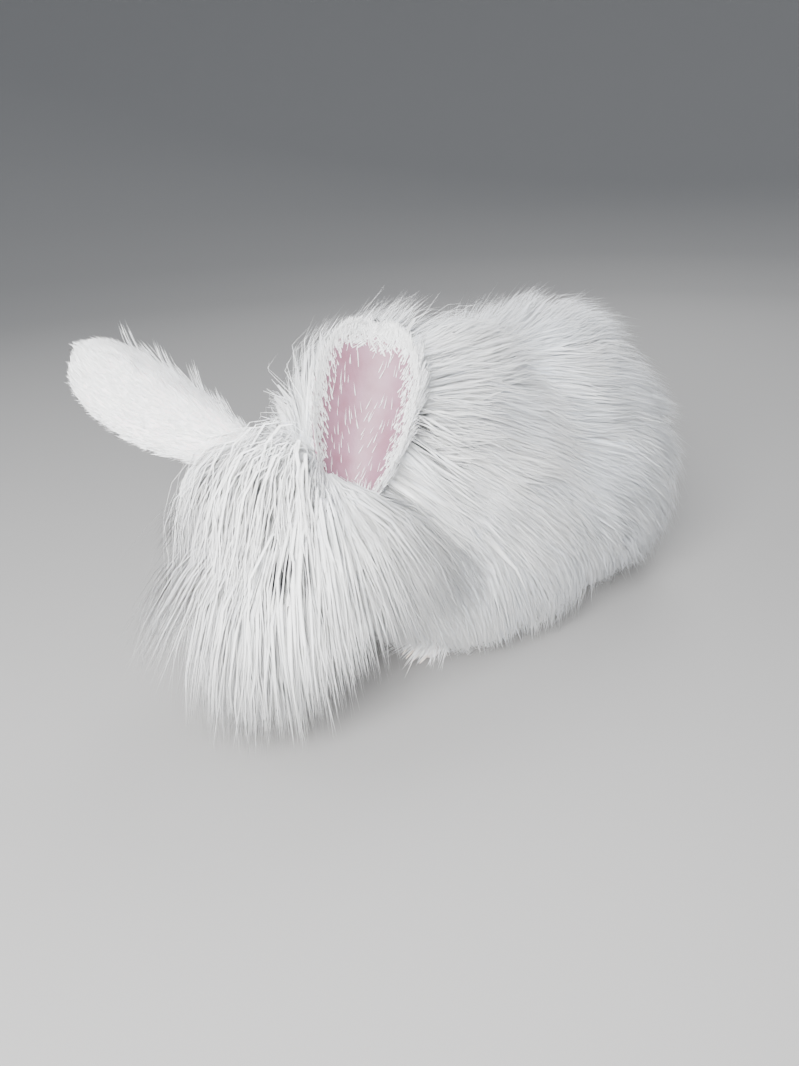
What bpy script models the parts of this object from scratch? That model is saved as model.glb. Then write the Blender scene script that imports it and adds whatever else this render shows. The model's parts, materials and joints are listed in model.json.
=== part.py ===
"""Angora rabbit, life size, crouched with its head low as it feeds.

The rabbit faces -Y, its left side is +X and Z is up, in metres. The body is a
set of named masses that blend into one skin. The coat stands on that skin: a
core that reaches half way out, and flat tapered locks that follow its lie.
"""
import math

import bmesh
import bpy
import numpy as np
from mathutils import Matrix, Vector

GAP = 0.0003            # between touching pieces
FLOOR_CLEARANCE = 0.002  # lowest point of the coat
BODY_BLEND = 0.009      # how softly the body's masses run together
HEAD_BLEND = 0.0035
BODY_COAT = 0.046       # skin to the tips on the back and flanks
HEM_COAT = 0.040        # at the floor
HEM_HEIGHT = 0.08
TOP_EXTRA = 0.008       # more along the back
PARTING_PLACE = 0.020   # along Y, where the coat parts across the back
PARTING_WIDTH = 0.013
PARTING_DEPTH = 0.012
CORE_SHARE = 0.48       # how far out the core under the locks reaches
FACE_FUR = 0.0015
CROWN_COAT = 0.024      # on the head's own skin, behind the muzzle
SEED = 6

HEAD_CENTRE = (0.008, -0.168, 0.141)
HEAD_YAW = 20.0         # degrees, turned to its left
HEAD_PITCH = 52.0       # degrees, nose down

EYE_CENTRE = (0.0208, -0.020, 0.0045)  # in the head's own frame
EYE_RADIUS = 0.0088
EYE_CLEAR = 0.0165      # no lock starts nearer the eye
LID_RADIUS = 0.0084
LID_THICKNESS = 0.0021
LID_OUT = 0.0033        # from the eye's centre
LID_SQUASH = 0.80
LID_TURN = 0.32         # radians towards the nose

EAR_LENGTH = 0.114
EAR_HALF_WIDTH = 0.044  # along its curve, laid flat
EAR_THICKNESS = 0.0028
EAR_SINK = -0.08        # where it starts inside the head, as a share of its length
EAR_WRAP_BASE = 300.0   # degrees of arc at the root, where the ear is a tube
EAR_WRAP_TIP = 70.0
EAR_POSES = {
    "left": {
        "root": (0.037, -0.160, 0.136), "axis": (-0.14, 0.42, 0.90),
        "facing": (0.70, -0.60, 0.38), "bend": 0.006,
    },
    "right": {
        "root": (-0.018, -0.184, 0.175), "axis": (-0.68, -0.62, 0.55),
        "facing": (-0.63, 0.10, -0.77), "bend": -0.004,
    },
}

FRONT_PAW = (0.037, -0.078)
HIND_TOES = (0.060, 0.004)
HIND_HEEL = (0.062, 0.104)
TAIL_CENTRE = (0.0, 0.172, 0.100)
TAIL_RADII = (0.018, 0.024, 0.026)
TAIL_ROOM = ((0.0, 0.190, 0.092), (0.030, 0.040, 0.046))  # the space in the coat it stands in
TAIL_COAT = 0.014

# Where the head's coat ends over the neck, and the neck's over the shoulders.
HEAD_EDGE = {"centre": (0.003, -0.148, 0.128), "slope_up": 0.9, "slope_down": -0.45}
NECK_EDGE = {"centre": (0.0, -0.112, 0.112), "slope_up": 1.5, "slope_down": 0.25}
EDGE_SHIFT = 0.00025    # each side of an edge, along Y

# The line inside each core from which it is cast, and its locks.
TORSO_LINE = ((0.0, -0.06, 0.095), (0.0, 0.10, 0.09))
NECK_LINE = ((0.0, -0.10, 0.105), (0.003, -0.150, 0.125))
HEAD_LINE = ((0.0, 0.0, 0.0), (0.0, -0.055, -0.008))  # in the head's own frame
TORSO_LOCKS = {"spacing": 0.039, "length": 0.100, "half_width": 0.024, "half_thickness": 0.0036}
NECK_LOCKS = {"spacing": 0.027, "length": 0.078, "half_width": 0.018, "half_thickness": 0.0032}
TAIL_LOCKS = {"spacing": 0.017, "length": 0.036, "half_width": 0.008, "half_thickness": 0.0020}
LOCK_ROOT = 0.30        # share of the coat's depth at which a lock starts, inside the core
LOCK_FLOOR = 0.012      # no lock starts lower
HAIR_SINK = 0.007       # how deep in the head's core a hair lock is rooted
HAIR_HALF_THICKNESS = 0.0022
LOCK_SECTION = ((1, -0.5), (0, 1), (-1, -0.5))  # across it and out from the skin
LOCK_WIDTHS = (0.60, 0.95, 1.00, 0.72)  # along a lock, its tip is a point
LOCK_THICKNESSES = (0.90, 1.00, 0.80, 0.50)

# Hair of the head by where it grows, in the head's own frame: first way, length and clearance.
HEAD_HAIR = {
    "fringe": {
        "from": (-0.020, -0.008, 0.022), "to": (0.020, 0.042, 0.032), "both": False, "count": 16,
        "spacing": 0.0095, "lead": (0.0, -0.50, 0.85), "fan": 26.0, "length": 0.168, "clear": 0.020,
        "half_width": 0.0120,
    },
    "temples": {
        "from": (0.020, -0.036, 0.006), "to": (0.030, 0.016, 0.022), "both": True, "count": 6,
        "spacing": 0.011, "lead": (1.1, -0.60, 0.60), "fan": 0.0, "length": 0.132, "clear": 0.014,
        "half_width": 0.0120,
    },
    "cheeks": {
        "from": (0.012, -0.042, -0.030), "to": (0.030, 0.010, -0.008), "both": True, "count": 5,
        "spacing": 0.012, "lead": (1.1, -0.40, 0.15), "fan": 0.0, "length": 0.098, "clear": 0.010,
        "half_width": 0.0120,
    },
    "far_side": {
        "from": (-0.030, -0.036, -0.006), "to": (-0.024, 0.010, 0.014), "both": False, "count": 3,
        "spacing": 0.012, "lead": (-1.6, -0.90, 0.50), "fan": 0.0, "length": 0.130, "clear": 0.018,
        "half_width": 0.0110,
    },
    "chin": {
        "from": (-0.014, -0.045, -0.034), "to": (0.014, 0.000, -0.026), "both": False, "count": 4,
        "spacing": 0.012, "lead": (0.0, -0.3, -0.9), "fan": 20.0, "length": 0.060, "clear": 0.006,
        "half_width": 0.0105,
    },
}

WHITE_WOOL = (0.90, 0.91, 0.93, 1.0)
WHITE_FUR = (0.91, 0.90, 0.90, 1.0)
EAR_PINK = (0.86, 0.66, 0.66, 1.0)
RUBY = (0.45, 0.05, 0.07, 1.0)

# Masses of flesh: centre and radii along X, Y and Z. A pair is given by its left one.
BODY_MASSES = {
    "ribcage": ((0.0, -0.025, 0.106), (0.053, 0.088, 0.068)),
    "belly": ((0.0, 0.050, 0.086), (0.058, 0.095, 0.064)),
    "loin": ((0.0, 0.068, 0.118), (0.052, 0.086, 0.070)),
    "rump": ((0.0, 0.098, 0.092), (0.050, 0.058, 0.064)),
    "chest": ((0.0, -0.090, 0.088), (0.038, 0.038, 0.046)),
    "withers": ((-0.004, -0.052, 0.148), (0.040, 0.050, 0.049)),
}
BODY_PAIRS = {
    "haunch": ((0.044, 0.084, 0.070), (0.033, 0.066, 0.057)),
    "shoulder": ((0.038, -0.055, 0.078), (0.026, 0.045, 0.054)),
    "flank": ((0.040, -0.004, 0.058), (0.030, 0.052, 0.044)),
}
NECK_MASSES = {
    "nape": ((-0.006, -0.106, 0.142), (0.040, 0.052, 0.050)),
    "throat": ((0.004, -0.150, 0.124), (0.027, 0.030, 0.030)),
}
HEAD_MASSES = {
    "cranium": ((0.0, 0.0, 0.0), (0.0235, 0.030, 0.023)),
    "nose_bridge": ((0.0, -0.036, -0.002), (0.0160, 0.034, 0.0160)),
    "muzzle": ((0.0, -0.058, -0.009), (0.0145, 0.018, 0.0130)),
    "chin": ((0.0, -0.056, -0.0195), (0.0085, 0.014, 0.0060)),
    "nose": ((0.0, -0.0745, -0.0045), (0.0062, 0.0042, 0.0042)),
}
HEAD_PAIRS = {
    "cheek": ((0.013, -0.016, -0.012), (0.0130, 0.026, 0.0190)),
    "whisker_pad": ((0.0075, -0.066, -0.011), (0.0078, 0.0105, 0.0090)),
    "brow": ((0.0155, -0.020, 0.0105), (0.0080, 0.012, 0.0070)),
}


def paired(single, pairs):
    """The masses as a list of (centre, radii), with each pair on both sides."""
    masses = list(single.values())
    for (x, y, z), radii in pairs.values():
        masses += [((x, y, z), radii), ((-x, y, z), radii)]
    return masses


def head_frame():
    """From the head's own frame, with the nose along -Y, to the body's."""
    turn = Matrix.Rotation(math.radians(HEAD_YAW), 4, "Z")
    nod = Matrix.Rotation(math.radians(HEAD_PITCH), 4, "X")
    return Matrix.Translation(HEAD_CENTRE) @ turn @ nod


def blended_distance(points, masses, blend):
    """Distance of each point from the skin of some masses that run together."""
    total = np.zeros(len(points))
    for centre, radii in masses:
        scaled = (points - np.array(centre)) / np.array(radii)
        length = np.linalg.norm(scaled, axis=1)
        steep = np.linalg.norm(scaled / np.array(radii), axis=1)
        total += np.exp(-length * (length - 1) / np.maximum(steep, 1e-9) / blend)
    return -blend * np.log(np.maximum(total, 1e-300))


def moved(points, matrix):
    m = np.array(matrix)
    return points @ m[:3, :3].T + m[:3, 3]


def torso_distance(points):
    return blended_distance(points, paired(BODY_MASSES, BODY_PAIRS), BODY_BLEND)


def neck_distance(points):
    return blended_distance(points, list(NECK_MASSES.values()), BODY_BLEND)


def head_distance(points):
    own = moved(points, head_frame().inverted())
    return blended_distance(own, paired(HEAD_MASSES, HEAD_PAIRS), HEAD_BLEND)


def skin_distance(points):
    """Distance from the skin of the torso and neck together."""
    parts = [torso_distance(points), neck_distance(points)]
    return -BODY_BLEND * np.log(sum(np.exp(-d / BODY_BLEND) for d in parts))


def coat_share(points):
    """Height over the skin of the torso and neck, as a share of the coat's depth there."""
    depth = BODY_COAT + (HEM_COAT - BODY_COAT) * ease((HEM_HEIGHT - points[:, 2]) / HEM_HEIGHT)
    depth += TOP_EXTRA * ease((points[:, 2] - 0.15) / 0.06)
    parting = np.exp(-((points[:, 1] - PARTING_PLACE) / PARTING_WIDTH) ** 2)
    depth -= PARTING_DEPTH * parting * ease((points[:, 2] - 0.14) / 0.06)
    from_head = np.linalg.norm(points - np.array(HEAD_CENTRE), axis=1)
    depth *= 0.35 + 0.65 * ease((from_head - 0.035) / 0.055)
    return skin_distance(points) / depth


def head_coat_share(points):
    """Height over the head's skin as a share of its coat's depth, thin on the muzzle and round the eyes."""
    own = moved(points, head_frame().inverted())
    depth = FACE_FUR + (CROWN_COAT - FACE_FUR) * ease((own[:, 1] + 0.050) / 0.040)
    for x in (EYE_CENTRE[0], -EYE_CENTRE[0]):
        far = np.linalg.norm(own - np.array((x, EYE_CENTRE[1], EYE_CENTRE[2])), axis=1)
        depth = FACE_FUR + (depth - FACE_FUR) * ease((far - 0.010) / 0.014)
    return blended_distance(own, paired(HEAD_MASSES, HEAD_PAIRS), HEAD_BLEND) / depth


def ease(t):
    t = np.clip(t, 0.0, 1.0)
    return t * t * (3 - 2 * t)


def new_object(name, vertices, faces, material=None):
    mesh = bpy.data.meshes.new(name)
    mesh.from_pydata([tuple(v) for v in vertices], [], faces)
    form = bmesh.new()
    form.from_mesh(mesh)
    bmesh.ops.recalc_face_normals(form, faces=form.faces)
    form.to_mesh(mesh)
    form.free()
    mesh.shade_smooth()
    if material:
        mesh.materials.append(material)
    piece = bpy.data.objects.new(name, mesh)
    bpy.context.scene.collection.objects.link(piece)
    return piece


def material(name, colour, roughness):
    made = bpy.data.materials.new(name)
    made.use_nodes = True
    shader = made.node_tree.nodes["Principled BSDF"]
    shader.inputs["Base Color"].default_value = colour
    shader.inputs["Roughness"].default_value = roughness
    return made


def cast_form(name, distance, height, start, end, rings, sides, finish):
    """A closed form where distance() equals height, cast outwards from the line start to end."""
    start, end = np.array(start), np.array(end)
    along = (end - start) / np.linalg.norm(end - start)
    side = np.cross(along, (0.0, 0.0, 1.0))
    side /= np.linalg.norm(side)
    rise = np.cross(side, along)
    origins, rays = [start], [-along]
    for i in range(1, rings):
        polar = math.pi * i / rings
        foot = start + (end - start) * (1 - math.cos(polar)) / 2
        for j in range(sides):
            turn = 2 * math.pi * j / sides
            out = math.cos(turn) * side + math.sin(turn) * rise
            origins.append(foot)
            rays.append(math.sin(polar) * out - math.cos(polar) * along)
    origins.append(end)
    rays.append(along)
    points = cast(np.array(origins), np.array(rays), distance, height)
    points[:, 2] = np.maximum(points[:, 2], FLOOR_CLEARANCE)
    faces = []
    for j in range(sides):
        k = (j + 1) % sides
        faces.append((0, 1 + j, 1 + k))
        for i in range(rings - 2):
            a, b = 1 + i * sides, 1 + (i + 1) * sides
            faces.append((a + j, b + j, b + k, a + k))
        last = 1 + (rings - 2) * sides
        faces.append((last + j, len(points) - 1, last + k))
    return new_object(name, points, faces, finish)


def cast(origins, rays, distance, height, reach=0.30, halvings=26):
    """Where each ray meets the surface at that height over the skin, by halving."""
    near, far = np.zeros(len(rays)), np.full(len(rays), reach)
    for _ in range(halvings):
        middle = (near + far) / 2
        inside = distance(origins + rays * middle[:, None]) < height
        near = np.where(inside, middle, near)
        far = np.where(inside, far, middle)
    return origins + rays * near[:, None]


def ball(name, centre, radii, finish=None, frame=None, segments=16, rings=10):
    form = bmesh.new()
    shape = Matrix.Translation(centre) @ Matrix.Diagonal((*radii, 1.0))
    bmesh.ops.create_uvsphere(
        form, u_segments=segments, v_segments=rings, radius=1.0,
        matrix=(frame or Matrix.Identity(4)) @ shape,
    )
    mesh = bpy.data.meshes.new(name)
    form.to_mesh(mesh)
    form.free()
    mesh.shade_smooth()
    if finish:
        mesh.materials.append(finish)
    piece = bpy.data.objects.new(name, mesh)
    bpy.context.scene.collection.objects.link(piece)
    return piece


def tube(name, path, radii, sides=8, finish=None):
    """A closed round limb through the points of path."""
    path = [Vector(p) for p in path]
    vertices, faces = [], []
    for i, centre in enumerate(path):
        ahead = path[min(i + 1, len(path) - 1)] - path[max(i - 1, 0)]
        across = ahead.cross(Vector((1.0, 0.0, 0.0))).normalized()
        over = ahead.cross(across).normalized()
        for j in range(sides):
            turn = 2 * math.pi * j / sides
            vertices.append(centre + radii[i] * (math.cos(turn) * across + math.sin(turn) * over))
    for i in range(len(path) - 1):
        for j in range(sides):
            k = (j + 1) % sides
            a, b = i * sides, (i + 1) * sides
            faces += [(a + j, a + k, b + k), (a + j, b + k, b + j)]
    faces.append(tuple(range(sides)))
    faces.append(tuple(range(len(vertices) - sides, len(vertices))))
    return new_object(name, vertices, faces, finish)


def evaluated(piece):
    """Applies the modifiers of piece."""
    bpy.context.view_layer.update()
    graph = bpy.context.evaluated_depsgraph_get()
    mesh = bpy.data.meshes.new_from_object(piece.evaluated_get(graph))
    piece.modifiers.clear()
    piece.data = mesh


def join(piece, others):
    """Fuses others into piece with one Boolean union, then removes them."""
    group = bpy.data.collections.new(piece.name + "_pieces")
    bpy.context.scene.collection.children.link(group)
    for other in others:
        bpy.context.scene.collection.objects.unlink(other)
        group.objects.link(other)
    union = piece.modifiers.new("union", "BOOLEAN")
    union.operation = "UNION"
    union.operand_type = "COLLECTION"
    union.collection = group
    union.solver = "MANIFOLD"
    evaluated(piece)
    for other in others:
        bpy.data.objects.remove(other)
    bpy.data.collections.remove(group)
    keep_largest(piece)


def cut(piece, cutters, operation="DIFFERENCE"):
    """Takes cutters away from piece, or keeps what is inside them, and leaves the cutters."""
    for cutter in cutters:
        knife = piece.modifiers.new("cut", "BOOLEAN")
        knife.operation = operation
        knife.object = cutter
        knife.solver = "MANIFOLD"
        evaluated(piece)
    keep_largest(piece)


def remove(pieces):
    for piece in pieces:
        bpy.data.objects.remove(piece)


def keep_largest(piece):
    """Drops every closed surface of piece but the largest, which also fills sealed hollows."""
    form = bmesh.new()
    form.from_mesh(piece.data)
    unseen, shells = set(form.faces), []
    while unseen:
        stack, shell = [unseen.pop()], []
        while stack:
            face = stack.pop()
            shell.append(face)
            for edge in face.edges:
                for other in edge.link_faces:
                    if other in unseen:
                        unseen.remove(other)
                        stack.append(other)
        shells.append(shell)
    shells.sort(key=len, reverse=True)
    for shell in shells[1:]:
        bmesh.ops.delete(form, geom=shell, context="FACES")
    form.to_mesh(piece.data)
    form.free()


def boundary(name, centre, slope_up, slope_down, shift, side, reach=0.26, span=0.60):
    """A closed solid on one side of a dish-shaped surface around centre. The dish opens
    backwards by slope_up above the centre and by slope_down below it."""
    segments, radii = 24, (0.03, 0.07, 0.13, reach)
    vertices, faces = [], []
    far = -span if side == "front" else span

    def dish(radius, turn):
        share = (1 + math.sin(turn)) / 2
        slope = slope_down + (slope_up - slope_down) * share
        return centre[1] + shift + slope * max(radius - radii[0], 0.0)

    vertices.append((centre[0], centre[1] + shift, centre[2]))
    for radius in radii:
        for j in range(segments):
            turn = 2 * math.pi * j / segments
            vertices.append((
                centre[0] + radius * math.cos(turn), dish(radius, turn),
                centre[2] + radius * math.sin(turn),
            ))
    for j in range(segments):
        turn = 2 * math.pi * j / segments
        vertices.append((
            centre[0] + reach * math.cos(turn), centre[1] + far,
            centre[2] + reach * math.sin(turn),
        ))
    for j in range(segments):
        k = (j + 1) % segments
        faces.append((0, 1 + j, 1 + k))
        for i in range(len(radii)):
            a, b = 1 + i * segments, 1 + (i + 1) * segments
            faces += [(a + j, b + j, b + k), (a + j, b + k, a + k)]
    faces.append(tuple(1 + len(radii) * segments + j for j in range(segments)))
    return new_object(name, vertices, faces)


def in_front(edge, name="front"):
    return boundary(name, edge["centre"], edge["slope_up"], edge["slope_down"], EDGE_SHIFT, "front")


def behind(edge, name="back"):
    return boundary(name, edge["centre"], edge["slope_up"], edge["slope_down"], -EDGE_SHIFT, "back")


def ear_surface(side, length_share, width_share, offset):
    """A point of the ear's wall. offset is along the wall's outward normal."""
    pose = EAR_POSES[side]
    axis = Vector(pose["axis"]).normalized()
    facing = Vector(pose["facing"])
    facing = (facing - facing.dot(axis) * axis).normalized()
    across = facing.cross(axis)
    wrap = math.radians(EAR_WRAP_BASE + (EAR_WRAP_TIP - EAR_WRAP_BASE) * max(length_share, 0) ** 0.3)
    flat = EAR_HALF_WIDTH * ear_outline(length_share)
    radius = max(flat, 0.002) / (wrap / 2)
    angle = width_share * wrap / 2
    spine = Vector(pose["root"]) + axis * EAR_LENGTH * length_share
    spine += facing * pose["bend"] * length_share ** 2
    out = math.sin(angle) * across - math.cos(angle) * facing
    return spine + facing * radius + out * (radius + offset)


def ear_outline(length_share):
    """The half width along the ear, as a share of its widest."""
    return 1.36 * (length_share + 0.10) ** 0.55 * max(1 - length_share, 0.0) ** 0.38


def ear(side, name, grow, finish=None):
    """The ear's cupped wall, as one closed shell. grow thickens it all round."""
    rows, columns = 11, 8
    half = EAR_THICKNESS / 2 + grow
    vertices, faces = [], []
    for face_offset in (half, -half):
        for i in range(rows + 1):
            share = EAR_SINK + (0.985 - EAR_SINK) * i / rows + grow * (i / rows - 0.5) * 20
            for j in range(columns + 1):
                across = (2 * j / columns - 1) * (1 + grow / 0.03)
                thin = EAR_THICKNESS * 0.27 if i == rows or j in (0, columns) else 0.0
                offset = face_offset - math.copysign(thin, face_offset)
                vertices.append(ear_surface(side, share, across, offset))
    width = columns + 1
    back = (rows + 1) * width
    for i in range(rows):
        for j in range(columns):
            a, b = i * width + j, (i + 1) * width + j
            faces += [(a, a + 1, b + 1), (a, b + 1, b)]
            faces += [(back + a, back + b + 1, back + a + 1), (back + a, back + b, back + b + 1)]
        for j in (0, columns):
            a, b = i * width + j, (i + 1) * width + j
            faces += [(a, b, back + b), (a, back + b, back + a)]
    for i in (0, rows):
        for j in range(columns):
            a = i * width + j
            faces += [(a, a + 1, back + a + 1), (a, back + a + 1, back + a)]
    return new_object(name, vertices, faces, finish)


def leg(kind, side, name, grow, finish=None):
    """One leg with its foot, its sole flat on the floor."""
    x = 1 if side == "left" else -1
    if kind == "front":
        px, py = FRONT_PAW
        path = [
            (x * 0.036, py + 0.018, 0.050), (x * 0.037, py + 0.006, 0.030), (x * px, py + 0.016, 0.013),
        ]
        limb = tube(name, path, [0.0125 + grow, 0.0110 + grow, 0.0105 + grow], finish=finish)
        paw = ball("paw", (x * px, py, 0.0105), (0.0130 + grow, 0.026 + grow, 0.0115 + grow),
                   segments=10, rings=6)
        toes = [((x * px + t * 0.0058), py - 0.019 + abs(t) * 0.0022) for t in (-1.5, -0.5, 0.5, 1.5)]
        toe_radii = (0.0036 + grow, 0.0085 + grow, 0.0060 + grow)
    else:
        tx, ty = HIND_TOES
        hx, hy = HIND_HEEL
        path = [(x * 0.056, 0.055, 0.050), (x * 0.060, 0.095, 0.030), (x * hx, hy - 0.006, 0.014)]
        limb = tube(name, path, [0.0140 + grow, 0.0130 + grow, 0.0110 + grow], finish=finish)
        middle = ((tx + hx) / 2, (ty + hy) / 2)
        paw = ball("paw", (x * middle[0], middle[1], 0.0105),
                   (0.0140 + grow, (hy - ty) / 2 + 0.004 + grow, 0.0115 + grow), segments=10, rings=6)
        toes = [((x * tx + t * 0.0066), ty + 0.002 + abs(t) * 0.003) for t in (-1.5, -0.5, 0.5, 1.5)]
        toe_radii = (0.0042 + grow, 0.0120 + grow, 0.0068 + grow)
    digits = [ball("toe", (*toe, 0.0058), toe_radii, segments=6, rings=4) for toe in toes]
    join(limb, [paw, *digits])
    if not grow:
        floor = slab("floor", -0.05, 0.0)
        cut(limb, [floor])
        remove([floor])
    return limb


def slab(name, bottom, top, size=1.0):
    form = bmesh.new()
    shape = Matrix.Translation((0, 0, (bottom + top) / 2)) @ Matrix.Diagonal((size, size, top - bottom, 1))
    bmesh.ops.create_cube(form, size=1.0, matrix=shape)
    mesh = bpy.data.meshes.new(name)
    form.to_mesh(mesh)
    form.free()
    piece = bpy.data.objects.new(name, mesh)
    bpy.context.scene.collection.objects.link(piece)
    return piece


def outward(share, points, step=0.0006):
    """Straight out of the skin at each point, with how fast share grows that way."""
    slope = np.empty_like(points)
    for axis in range(3):
        offset = np.zeros(3)
        offset[axis] = step
        slope[:, axis] = (share(points + offset) - share(points - offset)) / (2 * step)
    rate = np.linalg.norm(slope, axis=1)
    return slope / rate[:, None], rate


def spread(points, spacing):
    """A choice of the points that keeps them at least spacing apart."""
    kept = np.zeros((0, 3))
    for point in points:
        if not len(kept) or np.min(np.linalg.norm(kept - point, axis=1)) > spacing:
            kept = np.vstack((kept, point))
    return kept


def scattered(share, height, start, end, count, rng):
    """Random points of the surface at that height, cast from the line start to end."""
    start, end = np.array(start), np.array(end)
    origins = start + (end - start) * rng.random((count, 1))
    rays = rng.normal(size=(count, 3))
    rays /= np.linalg.norm(rays, axis=1)[:, None]
    return cast(origins, rays, share, height)


def lying_paths(share, roots, flow, lengths, low, rings):
    """Paths that leave the roots along flow and rise from the share low to the coat's full depth."""
    normal, rate = outward(share, roots)
    point = roots + normal * ((low - share(roots)) / rate)[:, None]
    path = [point]
    for i in range(1, rings):
        u = i / (rings - 1)
        normal, rate = outward(share, point)
        ahead = flow(point, normal)
        ahead -= normal * np.sum(ahead * normal, axis=1)[:, None]
        ahead /= np.maximum(np.linalg.norm(ahead, axis=1), 1e-6)[:, None]
        point = point + ahead * (lengths / (rings - 1))[:, None]
        for _ in range(2):
            normal, rate = outward(share, point)
            height = low + (1.0 - low) * u ** 0.6
            point = point + normal * ((height - share(point)) / rate)[:, None]
        point[:, 2] = np.maximum(point[:, 2], FLOOR_CLEARANCE + 0.002 * (1 - u))
        path.append(point)
    return np.stack(path, axis=1)


def hanging_paths(share, roots, starts, lengths, clear, rings):
    """Paths that set out along starts, give way to their own weight and stay clear of the skin."""
    normal, rate = outward(share, roots)
    point = roots - normal * HAIR_SINK
    path = [point]
    down = np.array((0.0, 0.0, -1.0))
    for i in range(1, rings):
        u = (i - 0.5) / (rings - 1)
        weight = ease(np.full(len(roots), u * 1.30))[:, None]
        ahead = starts * (1 - weight) + down * weight
        ahead /= np.linalg.norm(ahead, axis=1)[:, None]
        point = point + ahead * (lengths / (rings - 1))[:, None]
        normal, rate = outward(share, point)
        lift = np.maximum(clear * min(1.0, 2.5 * u) - share(point) / rate, 0)
        point = point + normal * lift[:, None]
        point[:, 2] = np.maximum(point[:, 2], FLOOR_CLEARANCE + 0.004 * (1 - u))
        path.append(point)
    return np.stack(path, axis=1)


def lock(name, path, out, half_width, half_thickness):
    """A flat tapered lock along path, its flat side towards out."""
    rings, sides = len(path) - 1, len(LOCK_SECTION)
    vertices, faces = [], []
    shares = np.linspace(0, 1, rings)
    grid = np.linspace(0, 1, len(LOCK_WIDTHS))
    before = None
    for i in range(rings):
        ahead = path[i + 1] - path[max(i - 1, 0)]
        across = np.cross(ahead, out[i])
        across /= np.linalg.norm(across)
        if before is not None:
            across = across + 0.8 * before * (1 if across @ before > 0 else -2)
            across /= np.linalg.norm(across)
        before = across
        thick = np.cross(across, ahead)
        thick /= np.linalg.norm(thick)
        wide = half_width * np.interp(shares[i], grid, LOCK_WIDTHS)
        deep = half_thickness * np.interp(shares[i], grid, LOCK_THICKNESSES)
        section = [path[i] + across * wide * dx + thick * deep * dz for dx, dz in LOCK_SECTION]
        sunk = FLOOR_CLEARANCE + 0.0004 * (rings - i) - min(v[2] for v in section)
        vertices += [v + np.array((0.0, 0.0, max(sunk, 0.0))) for v in section]
    vertices.append(path[-1])
    for i in range(rings - 1):
        for j in range(sides):
            k = (j + 1) % sides
            a, b = sides * i, sides * (i + 1)
            faces += [(a + j, a + k, b + k), (a + j, b + k, b + j)]
    last = sides * (rings - 1)
    for j in range(sides):
        faces.append((last + j, last + (j + 1) % sides, len(vertices) - 1))
    faces.append(tuple(reversed(range(sides))))
    return new_object(name, vertices, faces)


def steady(paths):
    """Which paths neither fold back nor bunch up, so that a flat lock can follow them."""
    steps = np.diff(paths, axis=1)
    sizes = np.linalg.norm(steps, axis=2)
    ways = steps / sizes[:, :, None]
    bends = np.sum(ways[:, 1:] * ways[:, :-1], axis=2)
    return (bends.min(axis=1) > 0.35) & (sizes.min(axis=1) > 0.45 * sizes.mean(axis=1))


def locks(share, paths, half_widths, half_thickness):
    """One lock for each path."""
    made = []
    paths[:, 1:-1] = paths[:, 1:-1] / 2 + (paths[:, :-2] + paths[:, 2:]) / 4
    keep = steady(paths)
    for path, half_width in zip(paths[keep], half_widths[keep]):
        out, _ = outward(share, path)
        made.append(lock("lock", path, out, half_width, half_thickness))
    return made


def body_flow(rng):
    """The lie of the body's coat: back along the spine, down over flanks, rump and chest."""
    def flow(points, normal):
        rear = ease((points[:, 1] - 0.06) / 0.12)
        top = ease((normal[:, 2] + 0.2) / 1.1)
        back = 0.35 + 0.9 * top * (1 - 0.6 * rear)
        down = 0.55 + 0.8 * rear + 0.5 * (1 - top)
        lie = np.stack((0 * back, back, -down), axis=1)
        lie += 0.30 * rng.normal(size=lie.shape)
        return lie
    return flow


def tail_share(points):
    return blended_distance(points, [(TAIL_CENTRE, TAIL_RADII)], 0.002) / TAIL_COAT


def seeds(share, start, end, spacing, inside, rng, count=5000):
    """Roots for locks on the core, spaced out and kept where inside says so."""
    points = scattered(share, CORE_SHARE, start, end, count, rng)
    return spread(points[inside(points)], spacing)


def dish_side(edge, points):
    """How far behind an edge's surface each point is, along Y."""
    centre = np.array(edge["centre"])
    radius = np.hypot(points[:, 0] - centre[0], points[:, 2] - centre[2])
    up = (1 + (points[:, 2] - centre[2]) / np.maximum(radius, 1e-6)) / 2
    slope = edge["slope_down"] + (edge["slope_up"] - edge["slope_down"]) * up
    return points[:, 1] - centre[1] - slope * np.maximum(radius - 0.03, 0)


def ring(name, frame, major, minor, squash, segments=15, sides=7):
    """A closed ring round the local X axis of frame, flattened by squash along its Z."""
    vertices, faces = [], []
    for i in range(segments):
        turn = 2 * math.pi * i / segments
        for j in range(sides):
            roll = 2 * math.pi * j / sides
            radius = major + minor * math.cos(roll)
            vertices.append(frame @ Vector((
                minor * math.sin(roll), radius * math.cos(turn), radius * math.sin(turn) * squash,
            )))
    for i in range(segments):
        for j in range(sides):
            a, b = i * sides, (i + 1) % segments * sides
            k = (j + 1) % sides
            faces += [(a + j, b + j, b + k), (a + j, b + k, a + k)]
    return new_object(name, vertices, faces)


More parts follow.
